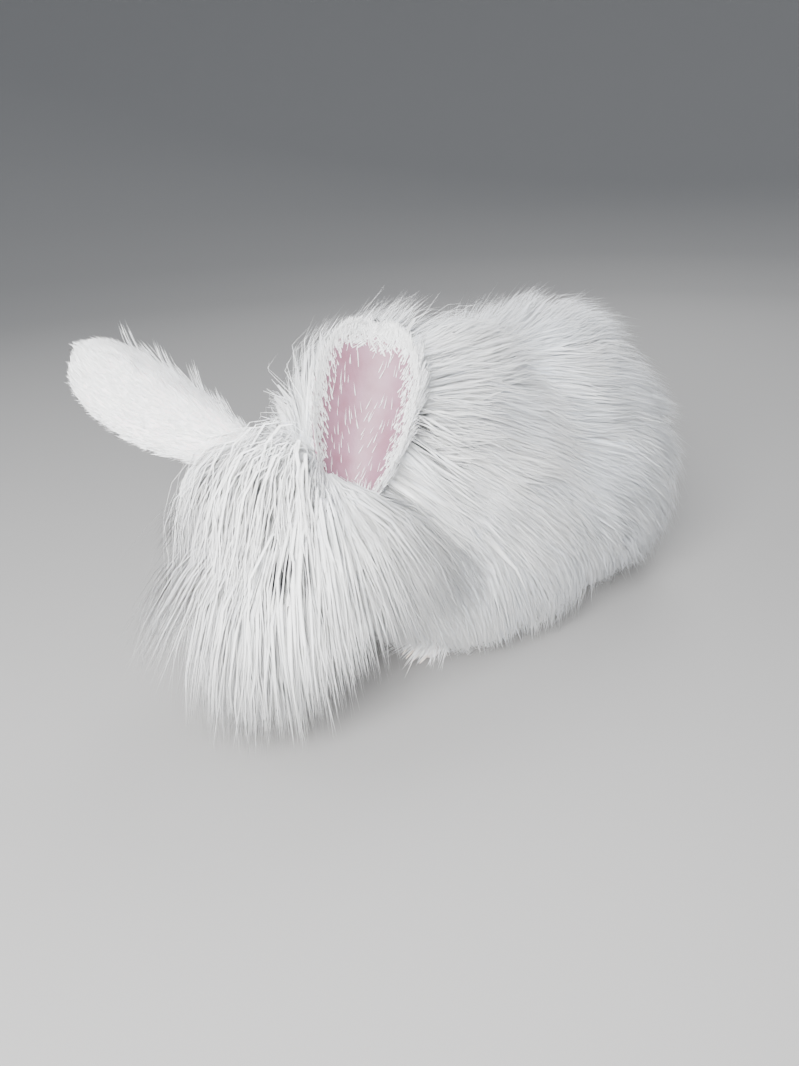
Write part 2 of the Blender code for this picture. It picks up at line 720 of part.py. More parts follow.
def face_pieces(frame):
    """Lids and lips to add to the head, and the mouth line, cleft and nostrils to take away."""
    added, taken = [], []
    for x, turn in ((1, -LID_TURN), (-1, math.pi + LID_TURN)):
        socket = Matrix.Translation((x * EYE_CENTRE[0], EYE_CENTRE[1], EYE_CENTRE[2]))
        facing = Matrix.Rotation(turn, 4, "Z") @ Matrix.Translation((LID_OUT, 0, 0))
        added.append(ring("lid", frame @ socket @ facing, LID_RADIUS, LID_THICKNESS, LID_SQUASH))
        nostril = Matrix.Translation((x * 0.0034, -0.0778, -0.0036)) @ Matrix.Rotation(x * 0.7, 4, "Y")
        taken.append(ball("nostril", (0, 0, 0), (0.0017, 0.0026, 0.0008), None, frame @ nostril, 8, 6))
    added.append(ball("lower_lip", (0, -0.0655, -0.0200), (0.0062, 0.0060, 0.0026), None, frame, 10, 6))
    taken.append(ball("mouth_line", (0, -0.0640, -0.0172), (0.0120, 0.0130, 0.0006), None, frame, 16, 4))
    taken.append(ball("cleft", (0, -0.0770, -0.0118), (0.0005, 0.0045, 0.0052), None, frame, 6, 8))
    return added, taken


def coat_locks(inside, line, sizes, rng):
    """Locks that lie over the core cast from line, rooted where inside says so."""
    roots = seeds(coat_share, *line, sizes["spacing"], inside, rng)
    lengths = sizes["length"] * rng.uniform(0.85, 1.2, len(roots))
    paths = lying_paths(coat_share, roots, body_flow(rng), lengths, LOCK_ROOT, 5)
    half_widths = sizes["half_width"] * rng.uniform(0.8, 1.15, len(roots))
    return locks(coat_share, paths, half_widths, sizes["half_thickness"])


def torso_locks(rng):
    def inside(p):
        return (dish_side(NECK_EDGE, p) > -0.004) & (p[:, 2] > LOCK_FLOOR)
    return coat_locks(inside, TORSO_LINE, TORSO_LOCKS, rng)


def neck_locks(rng):
    def inside(p):
        before_torso, behind_head = dish_side(NECK_EDGE, p) < -0.006, dish_side(HEAD_EDGE, p) > 0.002
        return before_torso & behind_head & (p[:, 2] > LOCK_FLOOR)
    return coat_locks(inside, NECK_LINE, NECK_LOCKS, rng)


def tail_locks(rng):
    roots = spread(scattered(tail_share, 0.0, TAIL_CENTRE, TAIL_CENTRE, 600, rng), TAIL_LOCKS["spacing"])
    roots = roots[roots[:, 1] > TAIL_CENTRE[1] - 0.004]
    lengths = np.full(len(roots), TAIL_LOCKS["length"])
    paths = lying_paths(tail_share, roots, body_flow(rng), lengths, -0.35, 5)
    half_widths = np.full(len(paths), TAIL_LOCKS["half_width"])
    return locks(tail_share, paths, half_widths, TAIL_LOCKS["half_thickness"])


def fringe_locks(rng):
    """Forelock, cheeks and chin: they set out over the face and hang down round it."""
    frame = head_frame()
    turn = np.array(frame)[:3, :3]
    made = []
    for family in HEAD_HAIR.values():
        low, high = np.array(family["from"]), np.array(family["to"])
        sides = (1, -1) if family["both"] else (1,)
        for side in sides:
            own = low + (high - low) * rng.random((family["count"] * 12, 3))
            own[:, 0] *= side
            start = moved(own, frame)
            centre = np.array(frame @ Vector((0.0, own[:, 1].mean(), -0.004)))
            rays = start - centre
            rays /= np.linalg.norm(rays, axis=1)[:, None]
            roots = cast(np.repeat(centre[None], len(rays), 0), rays, head_coat_share, CORE_SHARE, 0.08)
            own = moved(roots, frame.inverted())
            eye = np.array(EYE_CENTRE) * (side, 1, 1)
            roots = roots[np.linalg.norm(own - eye, axis=1) > EYE_CLEAR]
            roots = spread(roots, family["spacing"])[:family["count"]]
            own = moved(roots, frame.inverted())
            lead = np.array(family["lead"]) * (side, 1, 1) + np.outer(own[:, 0], (family["fan"], 0, 0))
            lead = lead + 0.07 * rng.normal(size=lead.shape)
            starts = lead @ turn.T
            starts /= np.linalg.norm(starts, axis=1)[:, None]
            lengths = family["length"] * rng.uniform(0.82, 1.12, len(roots))
            clear = np.full(len(roots), family["clear"]) * rng.uniform(0.5, 1.2, len(roots))
            paths = hanging_paths(head_coat_share, roots, starts, lengths, clear, 5)
            widths = family["half_width"] * rng.uniform(0.8, 1.15, len(roots))
            made += locks(head_distance, paths, widths, HAIR_HALF_THICKNESS)
    return made


def main():
    for old in list(bpy.data.objects):
        bpy.data.objects.remove(old)
    wool = material("white_wool", WHITE_WOOL, 0.9)
    fur = material("white_fur", WHITE_FUR, 0.85)
    pink = material("ear_pink", EAR_PINK, 0.6)
    ruby = material("ruby_eye", RUBY, 0.1)
    frame = head_frame()

    ears, ear_cutters = [], []
    for side in EAR_POSES:
        ears.append(ear(side, f"ear_{side}", 0.0, pink))
        ear_cutters.append(ear(side, f"ear_cutter_{side}", GAP * 2))
    eye_cutters = []
    for side, x in (("left", 1), ("right", -1)):
        centre = (x * EYE_CENTRE[0], EYE_CENTRE[1], EYE_CENTRE[2])
        ball(f"eye_{side}", centre, (EYE_RADIUS,) * 3, ruby, frame, 14, 8)
        eye_cutters.append(ball("eye_cutter", centre, (EYE_RADIUS + GAP,) * 3, None, frame, 14, 8))

    legs_cut = []
    for kind in ("front", "hind"):
        for side in ("left", "right"):
            leg(kind, side, f"leg_{kind}_{side}", 0.0, fur)
            legs_cut.append(leg(kind, side, "leg_cutter", GAP * 2.5))

    tail_room = ball("tail_room", TAIL_ROOM[0], TAIL_ROOM[1], segments=16, rings=9)
    tail_cutter = ball("tail_cutter", TAIL_ROOM[0], [r + GAP for r in TAIL_ROOM[1]], segments=16, rings=9)
    rng = np.random.default_rng(SEED)

    torso = cast_form("torso", coat_share, CORE_SHARE, *TORSO_LINE, 13, 18, wool)
    join(torso, torso_locks(rng))
    front = in_front(NECK_EDGE)
    cut(torso, [front, tail_cutter, *legs_cut])

    tail = ball("tail", TAIL_CENTRE, TAIL_RADII, wool, segments=12, rings=8)
    join(tail, tail_locks(rng))
    cut(tail, [tail_room], "INTERSECT")

    neck = cast_form("neck", coat_share, CORE_SHARE, *NECK_LINE, 11, 18, wool)
    join(neck, neck_locks(rng))
    rear, head_front = behind(NECK_EDGE), in_front(HEAD_EDGE)
    cut(neck, [rear, head_front, *legs_cut])

    start, end = (tuple(frame @ Vector(point)) for point in HEAD_LINE)
    head = cast_form("head", head_coat_share, CORE_SHARE, start, end, 18, 18, fur)
    lids, grooves = face_pieces(frame)
    join(head, lids + fringe_locks(rng))
    head_back = behind(HEAD_EDGE)
    cut(head, [head_back, *ear_cutters, *eye_cutters, *grooves])
    remove(grooves)
    remove([front, rear, head_front, head_back, tail_cutter, tail_room])
    remove([*legs_cut, *ear_cutters, *eye_cutters])
    centre_over_origin()


def centre_over_origin():
    """Moves everything alike, so that the middle of its bounds is over the origin."""
    corners = [piece.matrix_world @ v.co for piece in bpy.data.objects for v in piece.data.vertices]
    low = [min(c[i] for c in corners) for i in range(3)]
    high = [max(c[i] for c in corners) for i in range(3)]
    shift = Vector((-(low[0] + high[0]) / 2, -(low[1] + high[1]) / 2, -low[2]))
    for piece in bpy.data.objects:
        piece.data.transform(Matrix.Translation(shift))


main()
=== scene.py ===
"""Looks of the angora rabbit: skin, eyes, claws, wool, fringe, fur and whiskers, with a plain stage.

Everything is laid out in the body's own frame, as the solids are: the rabbit faces -Y, its left side
is +X and Z is up, in metres. Each piece is then moved to the place of the solids.
"""
import json
import math

import bmesh
import bpy
import numpy as np
from bpy.props import FloatProperty, FloatVectorProperty, IntProperty, PointerProperty
from mathutils import Matrix, Vector
from mathutils.bvhtree import BVHTree

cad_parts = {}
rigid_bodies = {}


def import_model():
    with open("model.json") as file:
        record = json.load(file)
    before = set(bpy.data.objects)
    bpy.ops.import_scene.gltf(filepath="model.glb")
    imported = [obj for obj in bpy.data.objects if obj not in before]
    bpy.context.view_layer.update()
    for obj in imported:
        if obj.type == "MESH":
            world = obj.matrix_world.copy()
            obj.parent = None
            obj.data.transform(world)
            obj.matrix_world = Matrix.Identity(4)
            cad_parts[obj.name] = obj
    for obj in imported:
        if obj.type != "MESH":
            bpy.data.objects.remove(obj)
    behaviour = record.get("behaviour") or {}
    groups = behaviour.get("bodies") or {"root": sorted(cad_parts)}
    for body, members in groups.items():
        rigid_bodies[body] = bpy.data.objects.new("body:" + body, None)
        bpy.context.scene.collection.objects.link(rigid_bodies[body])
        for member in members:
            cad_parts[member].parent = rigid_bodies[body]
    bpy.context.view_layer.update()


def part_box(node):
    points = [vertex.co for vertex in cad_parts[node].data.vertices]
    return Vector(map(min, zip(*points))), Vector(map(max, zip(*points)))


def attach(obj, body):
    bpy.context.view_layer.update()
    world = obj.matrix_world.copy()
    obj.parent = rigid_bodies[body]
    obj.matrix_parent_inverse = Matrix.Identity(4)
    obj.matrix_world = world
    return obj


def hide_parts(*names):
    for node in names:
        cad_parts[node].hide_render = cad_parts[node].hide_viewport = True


bl_info = {
    "name": "Angora Rabbit",
    "version": (1, 0, 0),
    "blender": (4, 5, 0),
    "location": "View3D > Sidebar > Rabbit",
    "description": "Skin, eyes, claws, wool and whiskers of a long-haired white rabbit",
    "category": "Add Mesh",
}

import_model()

SIDES = (("left", 1), ("right", -1))


def both(centre, radii):
    """A mass on the left side and its like on the right."""
    return [(centre, radii), ((-centre[0], *centre[1:]), radii)]


# The body's build, as the solids have it but for a smaller tail. A mass is a centre and its radii.
BODY_BLEND, HEAD_BLEND, SMALL_BLEND = 0.009, 0.0035, 0.002
BODY_COAT, HEM_COAT, HEM_HEIGHT = 0.046, 0.040, 0.08
BACK_HEIGHT, BACK_RISE, BACK_EXTRA = 0.15, 0.06, 0.008
PARTING_PLACE, PARTING_WIDTH, PARTING_DEPTH = 0.020, 0.013, 0.012
FLOOR = 0.0012                     # how low the hair hangs

HEAD_CENTRE = (0.008, -0.168, 0.141)
HEAD_YAW, HEAD_PITCH = 20.0, 52.0
EYE_CENTRE, EYE_RADIUS = (0.0208, -0.020, 0.0045), 0.0088
NOSE_CENTRE, NOSE_REACH = (0, -0.077, -0.004), 0.0062

BODY_MASSES = [
    ((0.0, -0.025, 0.106), (0.053, 0.088, 0.068)),          # ribcage
    ((0.0, 0.050, 0.086), (0.058, 0.095, 0.064)),           # belly
    ((0.0, 0.068, 0.118), (0.052, 0.086, 0.070)),           # loin
    ((0.0, 0.098, 0.092), (0.050, 0.058, 0.064)),           # rump
    ((-0.004, -0.052, 0.148), (0.040, 0.050, 0.049)),       # withers
    ((0.0, -0.090, 0.088), (0.038, 0.038, 0.046)),          # chest
    *both((0.044, 0.084, 0.070), (0.033, 0.066, 0.057)),    # haunches
    *both((0.038, -0.055, 0.078), (0.026, 0.045, 0.054)),   # shoulders
    *both((0.040, -0.004, 0.058), (0.030, 0.052, 0.044)),   # flanks
    ((-0.006, -0.106, 0.142), (0.040, 0.052, 0.050)),       # nape
    ((0.004, -0.150, 0.124), (0.027, 0.030, 0.030)),        # throat
]
TAIL = ((0.0, 0.160, 0.100), (0.015, 0.018, 0.022))
HEAD_MASSES = [
    ((0.0, 0.0, 0.0), (0.0235, 0.030, 0.023)),                      # cranium
    ((0.0, -0.036, -0.002), (0.0160, 0.034, 0.0160)),               # bridge of the nose
    ((0.0, -0.058, -0.009), (0.0145, 0.018, 0.0130)),               # muzzle
    ((0.0, -0.056, -0.0195), (0.0085, 0.014, 0.0060)),              # chin
    ((0.0, -0.0745, -0.0045), (0.0062, 0.0042, 0.0042)),            # nose
    *both((0.013, -0.016, -0.012), (0.0130, 0.026, 0.0190)),        # cheeks
    *both((0.0075, -0.066, -0.011), (0.0078, 0.0105, 0.0090)),      # whisker pads
    *both((0.0155, -0.020, 0.0105), (0.0080, 0.012, 0.0070)),       # brows
]
EAR_LENGTH, EAR_HALF_WIDTH, EAR_THICKNESS = 0.114, 0.044, 0.0024
EAR_WRAP_BASE, EAR_WRAP_TIP = 300.0, 70.0
EAR_SINK, EAR_END = -0.10, 0.985   # shares of the length where the wall starts and ends
BODY_VOXEL, FINE_VOXEL, COAT_VOXEL = 0.0030, 0.0013, 0.0050
# How far from the masses the roots of hair may lie.
LEG_RISE, HEAD_RISE, BODY_RISE, TAIL_RISE = 0.0025, 0.0022, 0.004, 0.003
COAT_FILL, COAT_RIPPLE, COAT_LOW = 0.38, 0.06, 0.008   # of the undercoat
EAR_POSES = {
    "left": {
        "root": (0.037, -0.160, 0.136), "axis": (-0.14, 0.42, 0.90),
        "facing": (0.70, -0.60, 0.38), "bend": 0.006,
    },
    "right": {
        "root": (-0.018, -0.184, 0.175), "axis": (-0.68, -0.62, 0.55),
        "facing": (-0.63, 0.10, -0.77), "bend": -0.004,
    },
}
FRONT_PAW, HIND_TOES, HIND_HEEL = (0.037, -0.078), (0.060, 0.004), (0.062, 0.104)
TOES = (-1.5, -0.5, 0.5, 1.5)      # places of the toes across a foot

# The coat. A row of locks has the spacing of their leaders, the pull to them and how far they stray.
BODY_LOCKS = ((0.034, 0.44, 0.010), (0.010, 0.16, 0.003))
HEAD_LOCKS = ((0.016, 0.42, 0.016), (0.006, 0.25, 0.004))
FORELOCK_LOCKS = ((0.014, 0.45, 0.014), (0.005, 0.25, 0.003))
STRAND_LOCKS = ((0.009, 0.6, 0.005),)
BODY_BANDS = (("shoulder", -0.090, 0.010), ("flank", 0.010, 0.080), ("rump", 0.080, 1.0))
# Of each body piece the first share is broad tufts, as far as the second inner ones, and from the
# third stray ones. The tops are shares of the coat that their tips reach.
BROAD_TO, INNER_TO, STRAY_FROM = 0.15, 0.40, 0.93
FINE_TOPS, BROAD_TOPS, INNER_TOPS, STRAY_RISE = (0.84, 1.04), (0.62, 0.88), (0.45, 0.84), 0.12
BODY_LOOSE = (0.0, 0.0007, 0.0012, 0.0022)
HAIR_WIDTH, BROAD_HAIR_WIDTH, HAIR_LOOSE, HEAD_RINGS = 0.0009, 0.0030, 0.0016, 5
HAIR_AXIS = 0.004                  # how far under the skull's centre the hair's own axis lies
CROPPED_LENGTH, CROPPED_CLEAR = 0.006, 0.0012
HEAD_TURNS = (0, 50, 95, 140, 180)  # degrees round the head, from its top to the throat
HEAD_CLEAR = (0.020, 0.017, 0.012, 0.009, 0.005)
HEAD_LIE = {
    "left": {"length": (0.98, 0.76, 0.76, 0.62, 0.34), "back": (-0.50, 0.25, 0.70, 0.85, 0.30),
             "droop": (0.96, 0.72, 0.66, 0.62, 0.8), "aside": 1.05},
    "right": {"length": (1.0, 0.80, 0.68, 0.52, 0.34), "back": (-0.55, -0.60, -0.60, -0.1, 0.10),
              "droop": (0.92, 0.60, 0.50, 0.55, 0.8), "aside": 1.30},
}
FORELOCK_TUFTS, FORELOCK_RINGS, FORELOCK_LOOSE = 1400, 9, 0.0018
COLLAR_TUFTS, EAR_STRANDS, FOOT_TUFTS, WHISKER_WIDTH = 1000, 520, 2200, 0.0005
# Shares of the velvet where its rim, tip, inner border and hollow begin. The back comes first.
RIM_FROM, TIP_FROM, BORDER_FROM, HOLLOW_FROM = 0.46, 0.62, 0.65, 0.97
SEEDS = {"body": 20, "neck": 40, "head": 60, "forelock": 70, "velvet": 80, "strands": 85,
         "collar": 88, "feet": 90, "whiskers": 95}
REACH, REACH_GIVE = 0.124, 0.65    # how far sideways the coat lies freely, and how much it gives
SECTION = ((1.0, -0.4), (0.0, 1.0), (-1.0, -0.4))
TAPER = (0.60, 1.0, 0.95, 0.68, 0.38)
LEAST_DEPTH = 0.00012              # of a tuft
PATCH, STRAND_SPREAD = 0.003, 40   # a tuft's patch on the unwrap, and the spread of strand places

# The stage, and the camera of the reference view in the same frame.
STAGE_RADIUS, STAGE_STEPS, STAGE_STEP = 1.7, 8, 0.45
LIGHTS = (("key", (0.40, -1.00, 0.82), 0.8, 50.0), ("fill", (-1.1, -0.9, 1.0), 1.2, 8.0),
          ("front", (0.80, -0.92, 0.66), 0.35, 23.0), ("back", (-0.5, 1.3, 1.5), 1.2, 26.0))
LIT_PLACE, SKY, SKY_STRENGTH = (0, 0, 0.1), (0.74, 0.82, 0.94, 1.0), 0.50
CAMERA_PLACE, CAMERA_TURN, CAMERA_TILT, CAMERA_ROLL = (0.378, -0.456, 0.33), 45.0, 25.0, -2.3
FOCAL_PIXELS, FRAME_PIXELS, SENSOR = 800.0, 1066.0, 36.0


class RabbitSizes(bpy.types.PropertyGroup):
    """Sizes and numbers of the coat"""
    body_tufts: IntProperty(name="Body tufts", description="Tufts in each of the six body pieces",
                            default=7000, min=200, max=12000)
    neck_tufts: IntProperty(name="Neck tufts", description="Tufts on each side of the neck",
                            default=5000, min=200, max=12000)
    fringe_tufts: IntProperty(name="Head tufts", description="Tufts in each of the two head pieces",
                              default=6000, min=200, max=8500)
    ear_tufts: IntProperty(name="Ear tufts", description="Short tufts on each ear",
                           default=6400, min=200, max=12000)
    wool_length: FloatProperty(name="Wool length", description="Length of a tuft on the body",
                               default=0.088, min=0.01, unit="LENGTH")
    wool_width: FloatProperty(name="Wool width", description="Width of a tuft on the body",
                              default=0.0010, min=0.0002, unit="LENGTH")
    lock_width: FloatProperty(name="Lock width", description="Width of the broad locks under the wool",
                              default=0.0060, min=0.0005, unit="LENGTH")
    fringe_length: FloatProperty(name="Fringe length", description="Longest hair over the face",
                                 default=0.168, min=0.01, unit="LENGTH")
    ear_fur: FloatProperty(name="Ear fur length", description="Length of the fur on the ears",
                           default=0.010, min=0.001, unit="LENGTH")
    whisker: FloatProperty(name="Whisker length", description="Length of the longest whisker",
                           default=0.055, min=0.001, unit="LENGTH")
    claw: FloatProperty(name="Claw length", description="Length of a claw",
                        default=0.009, min=0.001, unit="LENGTH")


class RabbitColours(bpy.types.PropertyGroup):
    """Colours of the animal and its stage"""
    wool: FloatVectorProperty(name="Wool", description="Colour of the wool's tips", subtype="COLOR",
                              size=4, default=(0.95, 0.957, 0.970, 1.0))
    # Painted shade: the wool is darker and cooler at its roots, standing in for the shade deep in the
    # coat.
    wool_shade: FloatVectorProperty(name="Wool shade", description="Colour of the wool at its roots",
                                    subtype="COLOR", size=4, default=(0.80, 0.84, 0.91, 1.0))
    skin: FloatVectorProperty(name="Skin", description="Colour of the skin under the wool",
                              subtype="COLOR", size=4, default=(0.86, 0.83, 0.83, 1.0))
    ear: FloatVectorProperty(name="Ear", description="Colour of the inside of the ears",
                             subtype="COLOR", size=4, default=(0.23, 0.118, 0.160, 1.0))
    nose: FloatVectorProperty(name="Nose", description="Colour of the nose and lips",
                              subtype="COLOR", size=4, default=(0.80, 0.50, 0.48, 1.0))
    eye: FloatVectorProperty(name="Eye", description="Colour of the iris", subtype="COLOR",
                             size=4, default=(0.50, 0.08, 0.10, 1.0))
    claw: FloatVectorProperty(name="Claw", description="Colour of the claws", subtype="COLOR",
                              size=4, default=(0.83, 0.74, 0.66, 1.0))
    floor: FloatVectorProperty(name="Floor", description="Colour of the stage", subtype="COLOR",
                               size=4, default=(0.29, 0.285, 0.28, 1.0))


# Numbers and fields shared by the pieces.

def ease(t):
    t = np.clip(t, 0.0, 1.0)
    return t * t * (3 - 2 * t)


def head_frame():
    """From the head's own frame, with the nose along -Y, to the body's."""
    turn = Matrix.Rotation(math.radians(HEAD_YAW), 4, "Z")
    nod = Matrix.Rotation(math.radians(HEAD_PITCH), 4, "X")
    return Matrix.Translation(HEAD_CENTRE) @ turn @ nod


def shift_to_solids():
    """From the body's frame to where the solids stand, read off the left eye."""
    low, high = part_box("eye_left")
    return (Vector(low) + Vector(high)) / 2 - head_frame() @ Vector(EYE_CENTRE)


def moved(points, matrix):
    m = np.array(matrix)
    return points @ m[:3, :3].T + m[:3, 3]


def unit(vectors):
    return vectors / np.maximum(np.linalg.norm(vectors, axis=-1, keepdims=True), 1e-9)


def blended_distance(points, masses, blend):
    """Distance of each point from the skin of some masses that run together."""
    total = np.zeros(len(points))
    for centre, radii in masses:
        scaled = (points - np.array(centre)) / np.array(radii)
        length = np.linalg.norm(scaled, axis=1)
        steep = np.linalg.norm(scaled / np.array(radii), axis=1)
        total += np.exp(-length * (length - 1) / np.maximum(steep, 1e-9) / blend)
    return -blend * np.log(np.maximum(total, 1e-300))


def distance(points, place):
    return np.linalg.norm(points - np.array(place), axis=1)


def in_head(points):
    """Points in the head's own frame."""
    return moved(points, head_frame().inverted())


def eye_place(x):
    """Centre of the left eye for x of 1 and of the right eye for -1, in the head's own frame."""
    return (x * EYE_CENTRE[0], *EYE_CENTRE[1:])


def body_height(points):
    return blended_distance(points, BODY_MASSES, BODY_BLEND)


def head_height(points):
    return blended_distance(in_head(points), HEAD_MASSES, HEAD_BLEND)


def tail_height(points):
    return blended_distance(points, [TAIL], SMALL_BLEND)


def leg_height(points):
    return blended_distance(points, all_leg_masses(), SMALL_BLEND)


def coat_share(points):
    """Height over the body's skin as a share of the coat's depth there."""
    depth = BODY_COAT + (HEM_COAT - BODY_COAT) * ease((HEM_HEIGHT - points[:, 2]) / HEM_HEIGHT)
    depth += BACK_EXTRA * ease((points[:, 2] - BACK_HEIGHT) / BACK_RISE)
    parting = np.exp(-((points[:, 1] - PARTING_PLACE) / PARTING_WIDTH) ** 2)
    depth -= PARTING_DEPTH * parting * ease((points[:, 2] - 0.14) / BACK_RISE)
    thinned = 0.62 - 0.30 * ease((points[:, 2] - BACK_HEIGHT) / 0.035)
    depth *= thinned + (1 - thinned) * ease((distance(points, HEAD_CENTRE) - 0.035) / 0.055)
    return body_height(points) / depth


def outward(share, points, step=0.0008):
    """Straight out of the skin at each point, with how fast share grows that way."""
    slope = np.empty_like(points)
    for axis in range(3):
        offset = np.zeros(3)
        offset[axis] = step
        slope[:, axis] = (share(points + offset) - share(points - offset)) / (2 * step)
    rate = np.linalg.norm(slope, axis=1)
    return slope / rate[:, None], rate


def body_flow(points, normal):
    """The lie of the body's wool: back along the spine, down over flanks, rump and chest."""
    rear = ease((points[:, 1] - 0.06) / 0.12)
    top = ease((normal[:, 2] + 0.2) / 1.1)
    back = 0.35 + 0.9 * top * (1 - 0.6 * rear)
    down = 0.50 + 0.8 * rear + 0.5 * (1 - top)
    x, y, z = points.T
    side = 0.22 * np.sin(61 * y + 23 * x) + 0.20 * np.sin(47 * z - 83 * y + 1.0)
    lie = np.stack((side, back, -down + 0.16 * np.sin(71 * y + 53 * x)), axis=1)
    lie -= normal * np.sum(lie * normal, axis=1)[:, None]
    return unit(lie)


def ear_outline(along):
    return 1.36 * (np.maximum(along, 0) + 0.10) ** 0.55 * np.maximum(1 - along, 0.0) ** 0.38


def ear_axes(side):
    """Root of an ear, its axis and where its opening faces, square to the axis."""
    pose = EAR_POSES[side]
    axis = unit(np.array(pose["axis"], float))
    facing = np.array(pose["facing"], float)
    return np.array(pose["root"]), axis, unit(facing - facing @ axis * axis)


def ear_point(side, along, across, offset):
    """Points of an ear's wall by their shares along and across it, offset along the outward normal."""
    root, axis, facing = ear_axes(side)
    along, across = np.asarray(along, float), np.asarray(across, float)
    wrap = np.radians(EAR_WRAP_BASE + (EAR_WRAP_TIP - EAR_WRAP_BASE) * np.maximum(along, 0) ** 0.3)
    flat = EAR_HALF_WIDTH * ear_outline(along)
    radius = np.maximum(flat, 0.002) / (wrap / 2)
    angle = across * wrap / 2
    spine = root + axis * (EAR_LENGTH * along)[..., None]
    spine = spine + facing * (EAR_POSES[side]["bend"] * along ** 2)[..., None]
    out = np.sin(angle)[..., None] * np.cross(facing, axis) - np.cos(angle)[..., None] * facing
    return spine + facing * radius[..., None] + out * (radius + offset)[..., None]


def ear_way(side, start, end):
    """Direction between places of an ear, each given along, across and off its wall."""
    return unit(ear_point(side, *end) - ear_point(side, *start))


# Mesh helpers.

def read(items, name, size, kind=float):
    """One property of all items as the rows of an array."""
    found = np.empty(len(items) * size, dtype=kind)
    items.foreach_get(name, found)
    return found.reshape(-1, size)


def link(name, mesh, materials=()):
    for material in materials:
        mesh.materials.append(material)
    piece = bpy.data.objects.new(name, mesh)
    bpy.context.scene.collection.objects.link(piece)
    return piece


def from_form(name, form, materials=()):
    mesh = bpy.data.meshes.new(name)
    form.to_mesh(mesh)
    form.free()
    mesh.shade_smooth()
    return link(name, mesh, materials)


def finish_piece(piece, replaced=()):
    """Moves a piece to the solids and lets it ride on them."""
    piece.data.transform(Matrix.Translation(shift_to_solids()))
    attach(piece, "root")
    if replaced:
        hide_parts(*replaced)
    return piece


def masses_form(masses, subdivisions=3, matrix=None):
    """Spheres stretched to the masses, in one bmesh."""
    form = bmesh.new()
    for centre, radii in masses:
        shape = Matrix.Translation(centre) @ Matrix.Diagonal((*radii, 1.0))
        bmesh.ops.create_icosphere(form, subdivisions=subdivisions, radius=1.0,
                                   matrix=(matrix or Matrix.Identity(4)) @ shape)
    return form


def settle(piece):
    """Applies the modifiers of a piece."""
    bpy.context.view_layer.update()
    graph = bpy.context.evaluated_depsgraph_get()
    mesh = bpy.data.meshes.new_from_object(piece.evaluated_get(graph))
    piece.modifiers.clear()
    piece.data = mesh
    return piece


def run_together(piece, voxel, rounds, factor=0.5):
    """Makes the pieces of a mesh one surface and smooths where they meet."""
    remesh = piece.modifiers.new("remesh", "REMESH")
    remesh.mode = "VOXEL"
    remesh.voxel_size = voxel
    smooth = piece.modifiers.new("smooth", "SMOOTH")
    smooth.iterations = rounds
    smooth.factor = factor
    return settle(piece)


def in_order(piece):
    """Sorts the points and faces of a piece by place, as Booleans and balls leave them unsorted."""
    points = read(piece.data.vertices, "co", 3)
    order = np.lexsort(points.T)
    rank = np.argsort(order)
    faces = []
    for face in piece.data.polygons:
        corners = [int(rank[i]) for i in face.vertices]
        first = corners.index(min(corners))
        faces.append(corners[first:] + corners[:first])
    piece.data = bpy.data.meshes.new(piece.name)
    piece.data.from_pydata(points[order], [], sorted(faces))
    return piece


def combine(piece, others, operation):
    """One Boolean of piece with others, which are removed."""
    group = bpy.data.collections.new(piece.name + "_" + operation.lower())
    bpy.context.scene.collection.children.link(group)
    for other in others:
        bpy.context.scene.collection.objects.unlink(other)
        group.objects.link(other)
    change = piece.modifiers.new("change", "BOOLEAN")
    change.operation = operation
    change.operand_type = "COLLECTION"
    change.collection = group
    change.solver = "MANIFOLD" if operation == "UNION" else "EXACT"
    settle(piece)
    for other in others:
        bpy.data.objects.remove(other)
    bpy.data.collections.remove(group)
    return in_order(piece)


def ball(name, centre, radii, matrix, segments, rings):
    form = bmesh.new()
    shape = Matrix.Translation(centre) @ Matrix.Diagonal((*radii, 1.0))
    bmesh.ops.create_uvsphere(form, u_segments=segments, v_segments=rings, radius=1.0,
                              matrix=matrix @ shape)
    return from_form(name, form)


# Materials.

def feed(tree, node, inputs):
    """Sets each input of a node to a value, or links it to the socket given."""
    for name, value in inputs.items():
        if isinstance(value, bpy.types.NodeSocket):
            tree.links.new(value, node.inputs[name])
        else:
            node.inputs[name].default_value = value


def add(tree, kind, inputs=None, **settings):
    """A new shader node's outputs."""
    node = tree.nodes.new("ShaderNode" + kind)
    for name, value in settings.items():
        setattr(node, name, value)
    feed(tree, node, inputs or {})
    return node.outputs


def rescale(tree, value, low, high, least=0.0, most=1.0):
    """Carries the range from low to high over to the one from least to most."""
    return add(tree, "MapRange", {"Value": value, "From Min": low, "From Max": high,
                                  "To Min": least, "To Max": most})["Result"]


def blend(tree, factor, one, other):
    return add(tree, "Mix", {"Factor": factor, "A": one, "B": other}, data_type="RGBA")["Result"]


def bump(tree, height, strength, depth):
    return add(tree, "Bump", {"Strength": strength, "Distance": depth, "Height": height})["Normal"]


def shaded(colour, *shares):
    return (*(part * share for part, share in zip(colour, shares)), 1.0)


def new_material(name, settings):
    """A new material with its node tree and its shader, which has the settings."""
    made = bpy.data.materials.new(name)
    made.use_nodes = True
    shader = made.node_tree.nodes["Principled BSDF"]
    feed(made.node_tree, shader, settings)
    return made, made.node_tree, shader


def plain_material(name, colour, roughness):
    return new_material(name, {"Base Color": tuple(colour), "Roughness": roughness})[0]


